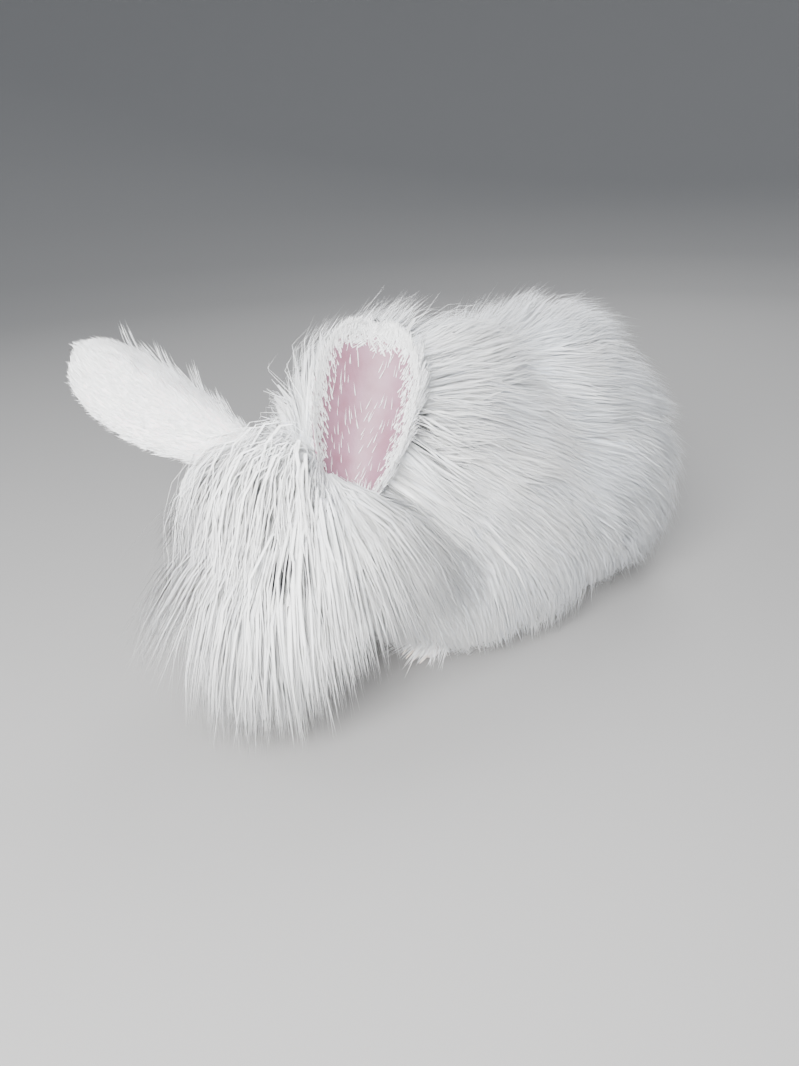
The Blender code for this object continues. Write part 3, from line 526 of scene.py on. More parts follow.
def fibre_group():
    """Streaks along a tuft and slow mottling over the coat, as two masks. The wool uses the mottling for
    painted shade in soft patches.
    """
    if "Fibre" in bpy.data.node_groups:
        return bpy.data.node_groups["Fibre"]
    tree = bpy.data.node_groups.new("Fibre", "ShaderNodeTree")
    for label, value in (("Streaks", 14.0), ("Mottle Size", 30.0)):
        socket = tree.interface.new_socket(label, in_out="INPUT", socket_type="NodeSocketFloat")
        socket.default_value = value
    for label in ("Streak", "Mottle"):
        tree.interface.new_socket(label, in_out="OUTPUT", socket_type="NodeSocketFloat")
    entry, end = tree.nodes.new("NodeGroupInput").outputs, tree.nodes.new("NodeGroupOutput")
    strand, place = add(tree, "UVMap", uv_map="Strand")["UV"], add(tree, "TexCoord")["Object"]
    across = add(tree, "CombineXYZ", {"X": entry["Streaks"], "Y": 0.7})["Vector"]
    spread = add(tree, "VectorMath", {0: strand, 1: across}, operation="MULTIPLY")["Vector"]
    streak = add(tree, "TexNoise", {"Scale": 1.0, "Detail": 2.0, "Vector": spread})["Fac"]
    mottle = add(tree, "TexNoise", {"Scale": entry["Mottle Size"], "Detail": 3.0, "Vector": place})["Fac"]
    feed(tree, end, {"Streak": streak, "Mottle": mottle})
    return tree


def wool_material(name, roughness, streaks):
    """White fibre with painted shade at its roots, streaks that read as single hairs, and painted shade
    in slow patches.
    """
    colours = bpy.context.scene.rabbit_colours
    tip, root = tuple(colours.wool), tuple(colours.wool_shade)
    made, tree, shader = new_material(name, {
        "Roughness": roughness, "Specular IOR Level": 0.25, "Sheen Weight": 0.35,
        "Sheen Roughness": 0.5, "Subsurface Weight": 0.7, "Subsurface Radius": (0.010, 0.010, 0.011)})
    fibre = add(tree, "Group", {"Streaks": streaks}, node_tree=fibre_group())
    along, tone = (add(tree, "Attribute", attribute_name=label)["Fac"] for label in ("along", "tone"))
    # Painted shade: darker and cooler towards the roots, by the share along the tuft.
    root_shaded = blend(tree, rescale(tree, along, 0.0, 0.55, 0.45), root, tip)
    dim = rescale(tree, fibre["Streak"], 0.30, 0.62, 0.16, 0.0)
    streaked = blend(tree, dim, root_shaded, shaded(root, 0.92, 0.93, 0.96))
    # Painted shade in soft patches: the slow mottling and each tuft's tone darken the wool towards a cool
    # grey.
    slow = add(tree, "Math", {0: fibre["Mottle"], 1: 0.90, 2: -0.20}, operation="MULTIPLY_ADD")["Value"]
    painted_shade = rescale(tree, add(tree, "Math", {0: slow, 1: tone})["Value"], 0.35, 1.15, 0.0, 0.75)
    mottled = blend(tree, painted_shade, streaked, shaded(root, 0.80, 0.84, 0.90))
    feed(tree, shader, {"Base Color": mottled, "Normal": bump(tree, fibre["Streak"], 0.25, 0.0004)})
    return made


def flesh_material(name, colour, roughness, mottle, coat=0.0):
    """Skin with fine mottling and pores."""
    colour = tuple(colour)
    made, tree, shader = new_material(name, {
        "Roughness": roughness, "Coat Weight": coat, "Subsurface Weight": 0.15,
        "Subsurface Radius": (0.006, 0.003, 0.002)})
    place = add(tree, "TexCoord")["Object"]
    noise = add(tree, "TexNoise", {"Scale": 90.0, "Detail": 5.0, "Vector": place})["Fac"]
    pores = add(tree, "TexNoise", {"Scale": 900.0, "Vector": place})["Fac"]
    spots = rescale(tree, noise, 0.42, 0.68, 0.0, mottle)
    mottled = blend(tree, spots, colour, shaded(colour, 0.84, 0.70, 0.72))
    feed(tree, shader, {"Base Color": mottled, "Normal": bump(tree, pores, 0.2, 0.0003)})
    return made


def eye_material(colour):
    """A wet eye: pupil, ringed iris and pink rim, by how far a point faces along the gaze."""
    made, tree, shader = new_material("ruby_eye_wet", {
        "Roughness": 0.08, "Coat Weight": 1.0, "Coat Roughness": 0.02})
    rings = ((0.0, (0.82, 0.58, 0.56, 1.0)), (0.60, (0.70, 0.36, 0.36, 1.0)), (0.66, colour),
             (0.80, shaded(colour, 1.3, 1.8, 1.8)), (0.93, colour), (0.955, (0.10, 0.004, 0.008, 1.0)))
    ramp = tree.nodes.new("ShaderNodeValToRGB")
    stops = ramp.color_ramp.elements
    for i, (place, tint) in enumerate(rings):
        stop = stops[i] if i < 2 else stops.new(place)
        stop.position, stop.color = place, tint
    feed(tree, ramp, {"Fac": add(tree, "Attribute", attribute_name="gaze")["Fac"]})
    feed(tree, shader, {"Base Color": ramp.outputs["Color"]})
    return made


FIBRES = {"wool": ("White wool", 0.80, 14.0), "fur": ("White fur", 0.70, 6.0)}


def wool_of(kind):
    """The wool or the fur material, made once."""
    name, roughness, streaks = FIBRES[kind]
    return bpy.data.materials.get(name) or wool_material(name, roughness, streaks)


# Skin.

def ear_shell(side, rows=44, columns=30):
    """An ear's cupped wall as one closed shell."""
    form = bmesh.new()
    bmesh.ops.create_grid(form, x_segments=columns, y_segments=rows, size=1.0)
    grid = np.array([v.co for v in form.verts])
    along, across = EAR_SINK + (grid[:, 1] + 1) / 2 * (EAR_END - EAR_SINK), grid[:, 0]
    thin = EAR_THICKNESS / 2 * (1 - 0.6 * np.maximum(np.abs(across), along) ** 8)
    outer, inner = (ear_point(side, along, across, offset) for offset in (thin, -thin))
    made = bmesh.ops.duplicate(form, geom=form.verts[:] + form.edges[:] + form.faces[:])
    back = made["vert_map"]
    for vertex, high, low in zip(list(form.verts)[:len(grid)], outer, inner):
        vertex.co = high
        back[vertex].co = low
    bmesh.ops.bridge_loops(form, edges=[edge for edge in form.edges if edge.is_boundary])
    bmesh.ops.recalc_face_normals(form, faces=form.faces)
    return from_form("ear_" + side, form)


def leg_masses(kind, x):
    """Masses of a front or hind leg, on the left for x of 1 and on the right for -1, toes last."""
    if kind == "front":
        px, py = FRONT_PAW
        shapes = [((x * 0.036, py + 0.022, 0.045), (0.012, 0.014, 0.020)),
                  ((x * 0.037, py + 0.012, 0.022), (0.011, 0.014, 0.018)),
                  ((x * px, py, 0.0115), (0.0130, 0.026, 0.0110))]
        return shapes + [((x * px + t * 0.0058, py - 0.019 + abs(t) * 0.0022, 0.0064),
                          (0.0036, 0.0085, 0.0060)) for t in TOES]
    (tx, ty), (hx, hy) = HIND_TOES, HIND_HEEL
    shapes = [((x * 0.057, 0.062, 0.042), (0.014, 0.022, 0.022)),
              ((x * 0.061, 0.090, 0.024), (0.012, 0.020, 0.018)),
              ((x * (tx + hx) / 2, (ty + hy) / 2, 0.0115), (0.0140, (hy - ty) / 2 + 0.004, 0.0112))]
    return shapes + [((x * tx + t * 0.0066, ty + 0.002 + abs(t) * 0.003, 0.0070),
                      (0.0042, 0.0120, 0.0066)) for t in TOES]


def all_leg_masses():
    return [mass for kind in ("front", "hind") for x in (1, -1) for mass in leg_masses(kind, x)]


def lid_ring(x):
    """A closed ring of skin round an eye."""
    form = bmesh.new()
    profile = [form.verts.new((0.0019 * math.sin(a), 0.0084 + 0.0019 * math.cos(a), 0.0))
               for a in np.linspace(0, 2 * math.pi, 9)[:-1]]
    edges = [form.edges.new((profile[i], profile[(i + 1) % 8])) for i in range(8)]
    bmesh.ops.spin(form, geom=profile + edges, cent=(0, 0, 0), axis=(1, 0, 0), dvec=(0, 0, 0),
                   angle=2 * math.pi, steps=28, use_merge=True)
    bmesh.ops.recalc_face_normals(form, faces=form.faces)
    turn = -0.32 if x > 0 else math.pi + 0.32
    facing = Matrix.Rotation(turn, 4, "Z") @ Matrix.Translation((0.0033, 0, 0))
    socket, squash = Matrix.Translation(eye_place(x)), Matrix.Diagonal((1, 1, 0.8, 1))
    bmesh.ops.transform(form, matrix=head_frame() @ socket @ facing @ squash, verts=form.verts)
    return from_form("lid", form)


class RABBIT_OT_skin(bpy.types.Operator):
    """Bare body, head, ears, tail and feet under the coat"""
    bl_idname = "rabbit.skin"
    bl_label = "Skin"

    def execute(self, context):
        own = head_frame()
        body = from_form("rabbit_skin", masses_form([*BODY_MASSES, TAIL]))
        run_together(body, BODY_VOXEL, 12)
        head = from_form("head_skin", masses_form(HEAD_MASSES, 4, own))
        run_together(head, FINE_VOXEL, 5)
        combine(head, [lid_ring(1), lid_ring(-1)], "UNION")
        socket = (EYE_RADIUS + 0.0001,) * 3
        cutters = [ball("eye", eye_place(x), socket, own, 28, 18) for x in (1, -1)]
        for x in (1, -1):
            nostril = Matrix.Translation((x * 0.0034, -0.0778, -0.0036))
            nostril = nostril @ Matrix.Rotation(x * 0.7, 4, "Y")
            cutters.append(ball("nostril", (0, 0, 0), (0.0017, 0.0026, 0.0008), own @ nostril, 12, 8))
        cutters.append(ball("mouth", (0, -0.0640, -0.0172), (0.0120, 0.0130, 0.0005), own, 24, 6))
        cutters.append(ball("cleft", (0, -0.0770, -0.0118), (0.0004, 0.0045, 0.0052), own, 8, 12))
        combine(head, cutters, "DIFFERENCE")
        legs = from_form("legs_skin", masses_form(all_leg_masses()))
        run_together(legs, FINE_VOXEL, 3)
        combine(body, [head, legs, ear_shell("left"), ear_shell("right")], "UNION")
        tone_skin(body, context.scene.rabbit_colours)
        body.data.shade_smooth()
        unwrap(body)
        finish_piece(body, ["torso", "neck", "head", "tail", "ear_left", "ear_right",
                                          "leg_front_left", "leg_front_right",
                                          "leg_hind_left", "leg_hind_right"])
        return {"FINISHED"}


def tone_skin(body, colours):
    """Gives the skin, ears and nose their own materials by place."""
    body.data.materials.clear()
    for made in (flesh_material("Pale skin", colours.skin, 0.6, 0.5),
                 flesh_material("Ear skin", colours.ear, 0.5, 1.0),
                 flesh_material("Nose skin", colours.nose, 0.35, 0.5, 0.3)):
        body.data.materials.append(made)
    pale, ear, nose = range(3)
    centres, normals = (read(body.data.polygons, name, 3) for name in ("center", "normal"))
    index = np.full(len(centres), pale, dtype=np.int32)
    far = np.minimum(body_height(centres), head_height(centres))
    ears = (far > 0.0025) & (tail_height(centres) > TAIL_RISE)
    index[ears] = ear
    for pose in EAR_POSES.values():
        middle = unit(np.array(pose["axis"])) * 0.055
        near = np.linalg.norm(centres - np.array(pose["root"]) - middle, axis=1) < 0.085
        index[ears & near & (normals @ unit(np.array(pose["facing"])) < -0.15)] = pale
    index[(leg_height(centres) < 0.003) & (centres[:, 2] < 0.07)] = pale
    off = (in_head(centres) - NOSE_CENTRE) / (1.2, 1.0, 0.9)
    index[np.linalg.norm(off, axis=1) < NOSE_REACH] = nose
    body.data.polygons.foreach_set("material_index", index)


def unwrap(body):
    """An unwrap of the skin's own shape, for the tufts to take their place from."""
    body.data.uv_layers.new(name="OFBake")
    context = bpy.context
    context.view_layer.objects.active = body
    for piece in context.view_layer.objects:
        piece.select_set(piece is body)
    bpy.ops.object.mode_set(mode="EDIT")
    bpy.ops.mesh.select_all(action="SELECT")
    bpy.ops.uv.smart_project(angle_limit=math.radians(70), island_margin=0.002)
    bpy.ops.object.mode_set(mode="OBJECT")


class SkinMap:
    """The finished skin as arrays: random roots on it, and the unwrap's place of any root."""

    def __init__(self):
        mesh = bpy.data.objects["rabbit_skin"].data
        mesh.calc_loop_triangles()
        points = read(mesh.vertices, "co", 3) - np.array(shift_to_solids())
        corners, loops = (read(mesh.loop_triangles, name, 3, np.int32) for name in ("vertices", "loops"))
        self.places = read(mesh.uv_layers["OFBake"].data, "uv", 2)[loops]
        self.triangles = points[corners]
        sides = self.triangles[:, 1:] - self.triangles[:, :1]
        self.areas = np.linalg.norm(np.cross(sides[:, 0], sides[:, 1]), axis=1) / 2
        self.centres = self.triangles.mean(axis=1)
        self.tree = BVHTree.FromPolygons(points.tolist(), corners.tolist())
        body, head = body_height(self.centres), head_height(self.centres)
        self.legs = leg_height(self.centres) < LEG_RISE
        self.head = (head < body) & (head < HEAD_RISE) & ~self.legs
        self.body = ~self.head & (body < BODY_RISE) & ~self.legs
        self.body |= tail_height(self.centres) < TAIL_RISE

    def roots(self, weight, count, rng):
        """Random points of the triangles, as likely as their area times weight."""
        share = self.areas * weight
        picked = rng.choice(len(share), count, p=share / share.sum())
        a, b = rng.random((2, count))
        flip = a + b > 1
        a[flip], b[flip] = 1 - a[flip], 1 - b[flip]
        first, second, third = self.triangles[picked].transpose(1, 0, 2)
        return first + a[:, None] * (second - first) + b[:, None] * (third - first)

    def unwrapped(self, roots):
        """The place of each root on the skin's unwrap."""
        found = np.empty((len(roots), 2))
        for i, root in enumerate(roots):
            spot, _, index, _ = self.tree.find_nearest(root)
            a, b, c = self.triangles[index]
            p, normal = np.array(spot), np.cross(b - a, c - a)
            whole = max(np.dot(normal, normal), 1e-18)
            u = np.dot(np.cross(c - b, p - b), normal) / whole
            v = np.dot(np.cross(a - c, p - c), normal) / whole
            found[i] = np.clip((u, v, 1 - u - v), 0, 1) @ self.places[index]
        return found


SKIN = {}


def skin_map():
    if "map" not in SKIN:
        SKIN["map"] = SkinMap()
    return SKIN["map"]


# Tufts.

def lay(mesh, name, values):
    """Lays a number on each point of a mesh."""
    mesh.attributes.new(name, "FLOAT", "POINT").data.foreach_set("value", values)


def lay_strands(mesh, places):
    """Adds the unwrap along the strands. The skin's own stays the active one."""
    mesh.uv_layers.new(name="Strand").data.foreach_set("uv", places.ravel())
    mesh.uv_layers["OFBake"].active_render = True
    mesh.uv_layers.active = mesh.uv_layers["OFBake"]


def tufts(name, paths, out, widths, rng, *, flatness, soft, fibre="wool", tone=0.0):
    """Closed, three-sided, tapered tufts along paths, joined in one piece. Their normals lean
    from their own shape to out as soft grows."""
    count, rings = paths.shape[0], paths.shape[1] - 1
    if out.ndim == 2:
        out = np.repeat(out[:, None], rings + 1, axis=1)
    beyond = np.maximum(np.abs(paths[..., 0]) - REACH, 0)
    paths[..., 0] -= np.sign(paths[..., 0]) * beyond * REACH_GIVE
    ahead = unit(np.gradient(paths, axis=1))
    across = unit(np.cross(ahead, out))
    thick = np.cross(across, ahead)
    shares = np.linspace(0, 1, rings + 1)[:-1]
    taper = np.interp(shares / shares[-1], np.linspace(0, 1, len(TAPER)), TAPER)
    wide = widths[:, None] / 2 * taper
    deep = np.maximum(wide * flatness, LEAST_DEPTH)
    points = np.empty((count, rings * 3 + 1, 3))
    normals = np.empty_like(points)
    for k, (dx, dz) in enumerate(SECTION):
        ring = across[:, :-1] * (wide * dx)[..., None] + thick[:, :-1] * (deep * dz)[..., None]
        points[:, k:-1:3] = paths[:, :-1] + ring
        normals[:, k:-1:3] = unit(out[:, :-1] * soft + (1 - soft) * unit(ring))
    points[:, -1], normals[:, -1] = paths[:, -1], out[:, -1]
    points[..., 2] = np.maximum(points[..., 2], FLOOR)
    quads = [(3 * i + k, 3 * i + 3 + k, 3 * i + 3 + (k + 1) % 3, 3 * i + (k + 1) % 3)
             for i in range(rings - 1) for k in range(3)]
    last = 3 * (rings - 1)
    ends = [(last + k, 3 * rings, last + (k + 1) % 3) for k in range(3)] + [(0, 1, 2)]
    corners = np.array([c for face in quads + ends for c in face])
    sizes = np.array([4] * len(quads) + [3] * len(ends))
    starts = np.concatenate(([0], np.cumsum(sizes)[:-1]))
    verts, loops, each = rings * 3 + 1, len(corners), np.arange(count)[:, None]
    mesh = bpy.data.meshes.new(name)
    mesh.vertices.add(count * verts)
    mesh.vertices.foreach_set("co", points.ravel())
    mesh.loops.add(count * loops)
    mesh.loops.foreach_set("vertex_index", (corners + each * verts).ravel().astype(np.int32))
    mesh.polygons.add(count * len(sizes))
    mesh.polygons.foreach_set("loop_start", (starts + each * loops).ravel().astype(np.int32))
    mesh.update(calc_edges=True)
    mesh.shade_smooth()
    local = np.zeros((verts, 2))
    local[:-1, 0], local[:-1, 1] = np.tile((1.0, 0.5, 0.0), rings), np.repeat(shares, 3)
    local[-1] = (0.5, 1.0)
    place = skin_map().unwrapped(paths[:, 0])
    baked = np.clip(place[:, None] + (local[corners] - 0.5) * PATCH, 0.0, 1.0)
    mesh.uv_layers.new(name="OFBake").data.foreach_set("uv", baked.ravel())
    lay_strands(mesh, local[corners] + rng.random((count, 1, 2)) * STRAND_SPREAD)
    lay(mesh, "along", np.tile(local[:, 1], (count, 1)).ravel())
    # The tone carries each tuft's random lock tone and its painted shade into the wool's colour.
    lay(mesh, "tone", np.repeat(np.broadcast_to(tone, count), verts))
    mesh.normals_split_custom_set_from_vertices(normals.reshape(-1, 3))
    return finish_piece(link(name, mesh, [wool_of(fibre)]))


def nearest(points, centres):
    """The index of the nearest centre to each point."""
    found = np.empty(len(points), dtype=int)
    for start in range(0, len(points), 2000):
        part = points[start:start + 2000]
        far = ((part[:, None] - centres[None]) ** 2).sum(axis=2)
        found[start:start + 2000] = far.argmin(axis=1)
    return found


def gather(paths, levels, rng):
    """Draws tufts together into locks, level by level: each follows the nearest leader more and
    more to its tip, and the leaders stray from their lie by tousle."""
    roots = paths[:, 0]
    u = np.linspace(0, 1, paths.shape[1])[None, :, None]
    for spacing, pull, tousle in levels:
        leaders, free = [], np.ones(len(paths), bool)
        for i in rng.permutation(len(paths)):
            if free[i]:
                leaders.append(i)
                free &= np.linalg.norm(roots - roots[i], axis=1) > spacing * rng.uniform(0.7, 1.3)
        mine = nearest(roots, roots[leaders])
        lead = paths[leaders] + rng.normal(size=(len(leaders), 1, 3)) * tousle * u ** 1.4
        strength = pull * rng.uniform(0.45, 1.0, (len(paths), 1, 1))
        paths = paths + (lead[mine] - paths) * strength * ease(u * 0.95) ** 0.8
    return paths


def lock_tone(roots, spacing, spread, rng):
    """A tone for each tuft, nearly the same throughout one lock: it differs at random from lock to lock
    and also stands in for painted shade on whole locks.
    """
    centres = roots[rng.permutation(len(roots))[:max(8, int(0.06 / spacing ** 2))]]
    own = rng.uniform(0, 1, len(centres))[nearest(roots, centres)]
    return np.clip(own * spread + 0.06 * rng.normal(size=len(roots)), 0, 1)


def rear_shade(y):
    """Painted shade that deepens from the shoulders to the rump, as the light falls off towards the rear.
    """
    return 0.42 * ease((y + 0.12) / 0.20)


def clear_of_ear(paths):
    """Tells which paths stay out of the space that the opening of the left ear looks into."""
    root, axis, facing = ear_axes("left")
    off = paths[:, 1:] - root
    along, ahead = off @ axis / EAR_LENGTH, off @ facing
    flat = EAR_HALF_WIDTH * ear_outline(np.minimum(along, 0.99))
    across = np.abs(off @ np.cross(facing, axis)) / flat
    inside = (along > 0.12) & (along < 1.0) & (across < 0.92) & (ahead > -0.002) & (ahead < 0.050)
    return ~inside.any(axis=1)


def straight(roots, leads, lengths, rings=4):
    """Straight paths from roots along leads."""
    u = np.linspace(0, 1, rings)
    return roots[:, None] + leads[:, None] * (lengths[:, None] * u)[..., None]


def lying(share, roots, flow, lengths, tops, rings, rise=0.6):
    """Paths that leave the skin along flow and rise to tops of the coat's full depth."""
    point = roots.copy()
    path = [point]
    for i in range(1, rings):
        u = i / (rings - 1)
        normal, _ = outward(share, point)
        point = point + flow(point, normal) * (lengths / (rings - 1))[:, None]
        normal, rate = outward(share, point)
        point = point + normal * ((tops * u ** rise - share(point)) / rate)[:, None]
        point[:, 2] = np.maximum(point[:, 2], FLOOR + 0.002 * (1 - u))
        path.append(point)
    return np.stack(path, axis=1)


def hanging(roots, starts, lengths, clear, droop, pace, rings, early=0.45):
    """Paths that set out along starts, give way to their own weight by droop, each at its own pace,
    and clear the face."""
    point = roots.copy()
    path = [point]
    down = np.array((0.0, 0.0, -1.0))
    for i in range(1, rings):
        u = (i - 0.5) / (rings - 1)
        weight = (droop * (early + (1 - early) * ease(u * pace)))[:, None]
        point = point + unit(starts * (1 - weight) + down * weight) * (lengths / (rings - 1))[:, None]
        height = head_height(point)
        normal, _ = outward(head_height, point)
        lift = np.maximum(clear * min(1.0, 2.5 * u) - height, 0)
        point = point + normal * lift[:, None]
        point[:, 2] = np.maximum(point[:, 2], FLOOR + 0.002 * (1 - u))
        path.append(point)
    return np.stack(path, axis=1)


def smoothed(paths, rounds):
    """Rounds off the corners of paths between their ends."""
    for _ in range(rounds):
        paths[:, 1:-1] += (paths[:, :-2] + paths[:, 2:] - 2 * paths[:, 1:-1]) / 4
    return paths


def normals_along(share, paths):
    flat, _ = outward(share, paths.reshape(-1, 3))
    return flat.reshape(paths.shape)


def wool_piece(context, name, weight, count, length, seed):
    """One piece of body wool, grown from roots as likely as weight: fine tufts, with broad and
    inner ones under them and a few stray hairs."""
    rng = np.random.default_rng(seed)
    roots = skin_map().roots(weight, count, rng)
    kind = rng.random(count)
    broad, inner, stray = kind < BROAD_TO, (kind >= BROAD_TO) & (kind < INNER_TO), kind > STRAY_FROM
    tops = rng.uniform(*FINE_TOPS, count)
    tops[broad] = rng.uniform(*BROAD_TOPS, broad.sum())
    tops[inner] = rng.uniform(*INNER_TOPS, inner.sum())
    tops[stray] += STRAY_RISE
    lengths = length * rng.uniform(0.75, 1.15, count) * np.where(inner, 0.8, 1.0)
    lengths *= 1 + 0.30 * ease((0.075 - roots[:, 2]) / 0.03)
    paths = gather(lying(coat_share, roots, body_flow, lengths, tops, 4), BODY_LOCKS, rng)
    paths += rng.normal(size=paths.shape) * np.array(BODY_LOOSE)[None, :, None]
    keep = clear_of_ear(paths)
    paths, broad, stray, count = paths[keep], broad[keep], stray[keep], keep.sum()
    sizes = context.scene.rabbit_sizes
    widths = sizes.wool_width * rng.uniform(0.5, 1.2, count)
    widths[broad] = sizes.lock_width * rng.uniform(0.7, 1.2, broad.sum())
    widths[stray] *= 0.4
    # Each tuft's tone: random by lock, with painted shade of the locks and painted shade deepening to the
    # rump.
    tone = lock_tone(paths[:, 0], 0.024, 0.75, rng) + rear_shade(paths[:, 0, 1])
    out = normals_along(coat_share, paths)
    return tufts(name, paths, out, widths, rng, flatness=0.16, soft=0.95, tone=tone)


class RABBIT_OT_undercoat(bpy.types.Operator):
    """Dense short wool, which fills about the lowest third of the coat"""
    bl_idname = "rabbit.undercoat"
    bl_label = "Undercoat"

    def execute(self, context):
        piece = from_form("undercoat", masses_form(BODY_MASSES))
        run_together(piece, COAT_VOXEL, 12)
        points = read(piece.data.vertices, "co", 3)
        x, y, z = points.T
        ripple = COAT_RIPPLE * np.sin(260 * y + 190 * z) * np.sin(230 * x - 210 * z + 90 * y)
        fill = COAT_FILL + ripple
        fill *= 0.20 + 0.80 * ease((distance(points, HEAD_CENTRE) - 0.050) / 0.060)
        for _ in range(6):
            normal, rate = outward(coat_share, points)
            points += normal * ((fill - coat_share(points)) / rate)[:, None]
        points[:, 2] = np.maximum(points[:, 2], COAT_LOW)
        piece.data.vertices.foreach_set("co", points.ravel())
        mesh = run_together(piece, COAT_VOXEL, 4).data
        mesh.materials.clear()
        mesh.materials.append(wool_of("wool"))
        mesh.shade_smooth()
        unwrap(piece)
        lay_strands(mesh, read(mesh.uv_layers["OFBake"].data, "uv", 2) * STRAND_SPREAD)
        back = read(mesh.vertices, "co", 3)[:, 1]
        # The undercoat takes much of the painted root shade, and its tone adds painted shade that deepens
        # to the rump.
        lay(mesh, "along", np.full(len(back), 0.30))
        lay(mesh, "tone", 0.35 + rear_shade(back))
        finish_piece(piece)
        return {"FINISHED"}


class RABBIT_OT_body_wool(bpy.types.Operator):
    """Long wool of the shoulders, flanks and rump, on both sides"""
    bl_idname = "rabbit.body_wool"
    bl_label = "Body wool"

    def execute(self, context):
        sizes, skin = context.scene.rabbit_sizes, skin_map()
        x, y, z = skin.centres.T
        under = 0.75 + 0.25 * ease((z - 0.02) / 0.03)
        front = 1 + 1.5 * (z < 0.075) * (y < -0.05)
        for i, (name, low, high) in enumerate(BODY_BANDS):
            for j, (side, sign) in enumerate(SIDES):
                weight = skin.body * (y >= low) * (y < high) * (x * sign >= 0) * under * front
                wool_piece(context, f"wool_{name}_{side}", weight, sizes.body_tufts,
                           sizes.wool_length, SEEDS["body"] + 2 * i + j)
        return {"FINISHED"}


class RABBIT_OT_neck_wool(bpy.types.Operator):
    """Ruff of the neck and chest, on both sides"""
    bl_idname = "rabbit.neck_wool"
    bl_label = "Neck wool"

    def execute(self, context):
        sizes, skin = context.scene.rabbit_sizes, skin_map()
        x, y, z = skin.centres.T
        for j, (side, sign) in enumerate(SIDES):
            weight = skin.body * (y < -0.090) * (x * sign >= 0) * (1 + 1.5 * (z < 0.075))
            wool_piece(context, f"wool_neck_{side}", weight, sizes.neck_tufts,
                       sizes.wool_length * 0.90, SEEDS["neck"] + j)
        return {"FINISHED"}


class RABBIT_OT_head_hair(bpy.types.Operator):
    """Fringe over the face, hair of the cheeks and chin, and short fur of the muzzle"""
    bl_idname = "rabbit.head_hair"
    bl_label = "Head hair"

    def execute(self, context):
        skin = skin_map()
        own = in_head(skin.centres)
        eye = np.minimum(distance(own, eye_place(1)), distance(own, eye_place(-1)))
        bare = (eye < EYE_RADIUS + 0.0012) | (distance(own, NOSE_CENTRE) < NOSE_REACH)
        top = own[:, 2] > 0.008
        crown = np.exp(-(own[:, 0] / 0.010) ** 2) * top
        for j, (side, sign) in enumerate(SIDES):
            weight = skin.head * ~bare * (own[:, 0] * sign >= 0) * (0.7 + 1.0 * top + 0.8 * crown)
            self.grow(context.scene.rabbit_sizes, weight, side, sign, SEEDS["head"] + j)
        return {"FINISHED"}

    def grow(self, sizes, weight, side, sign, seed):
        """Hair of one side: hanging where it is full, cropped round the eye and on the muzzle."""
        lie, count, rng = HEAD_LIE[side], sizes.fringe_tufts, np.random.default_rng(seed)
        roots = skin_map().roots(weight, count, rng)
        own = in_head(roots)
        angle = np.degrees(np.arctan2(np.abs(own[:, 0]), own[:, 2] + HAIR_AXIS))
        lengths = sizes.fringe_length * np.interp(angle, HEAD_TURNS, lie["length"])
        clear = np.interp(angle, HEAD_TURNS, HEAD_CLEAR)
        eye = distance(own, eye_place(sign))
        full = ease((own[:, 1] + 0.058) / 0.034) * ease((eye - 0.0105) / 0.010)
        clear = clear + 0.014 * ease((own[:, 1] + 0.012) / 0.030) * ease((60 - angle) / 40)
        lengths = CROPPED_LENGTH + (lengths - CROPPED_LENGTH) * full
        clear = CROPPED_CLEAR + (clear - CROPPED_CLEAR) * full
        radial = unit(np.stack((own[:, 0], 0 * own[:, 0], own[:, 2] + HAIR_AXIS), axis=1))
        lead = radial * (lie["aside"], 0, 0.85)
        lead[:, 1] += np.interp(angle, HEAD_TURNS, lie["back"])
        short = radial * 0.35 + np.array((0, 0.9, -0.1))
        lead = lead * full[:, None] + short * (1 - full)[:, None]
        lead = lead + 0.12 * rng.normal(size=lead.shape)
        lead[:, 0] += 0.45 * rng.normal(size=count) * ease((45 - angle) / 45)
        lead[:, 1] += (sign < 0) * (angle > 60) * (own[:, 1] > 0) * (rng.random(count) < 0.40) * 1.1
        starts = unit(lead @ np.array(head_frame())[:3, :3].T)
        droop = np.interp(angle, HEAD_TURNS, lie["droop"])
        lengths *= rng.uniform(0.72, 1.08, count)
        broad = (rng.random(count) < 0.38) & (full > 0.8)
        clear *= rng.uniform(0.25, 1.15, count) * np.where(broad, 0.55, 1.0)
        pace = rng.uniform(0.9, 1.7, count)
        paths = hanging(roots, starts, lengths, clear, droop, pace, HEAD_RINGS)
        cropped = full < 0.15
        paths[cropped] = straight(roots, starts, lengths, HEAD_RINGS)[cropped]
        full = full[:, None, None]
        paths = smoothed(paths + (gather(paths, HEAD_LOCKS, rng) - paths) * full, 1)
        u = np.linspace(0, 1, HEAD_RINGS)[None, :, None]
        paths += rng.normal(size=paths.shape) * u * HAIR_LOOSE * full
        paths[..., 2] = np.maximum(paths[..., 2], FLOOR)
        widths = HAIR_WIDTH * rng.uniform(0.5, 1.3, count)
        widths[broad] = BROAD_HAIR_WIDTH * rng.uniform(0.6, 1.2, broad.sum())
        keep = clear_of_ear(paths)
        paths, widths = paths[keep], widths[keep]
        # Each tuft's tone: random by lock, with painted shade of the locks.
        tone = lock_tone(paths[:, 0], 0.018, 0.40, rng)
        out = normals_along(head_height, paths)
        tufts(f"hair_head_{side}", paths, out, widths, rng, flatness=0.18, soft=0.95,
              tone=tone)


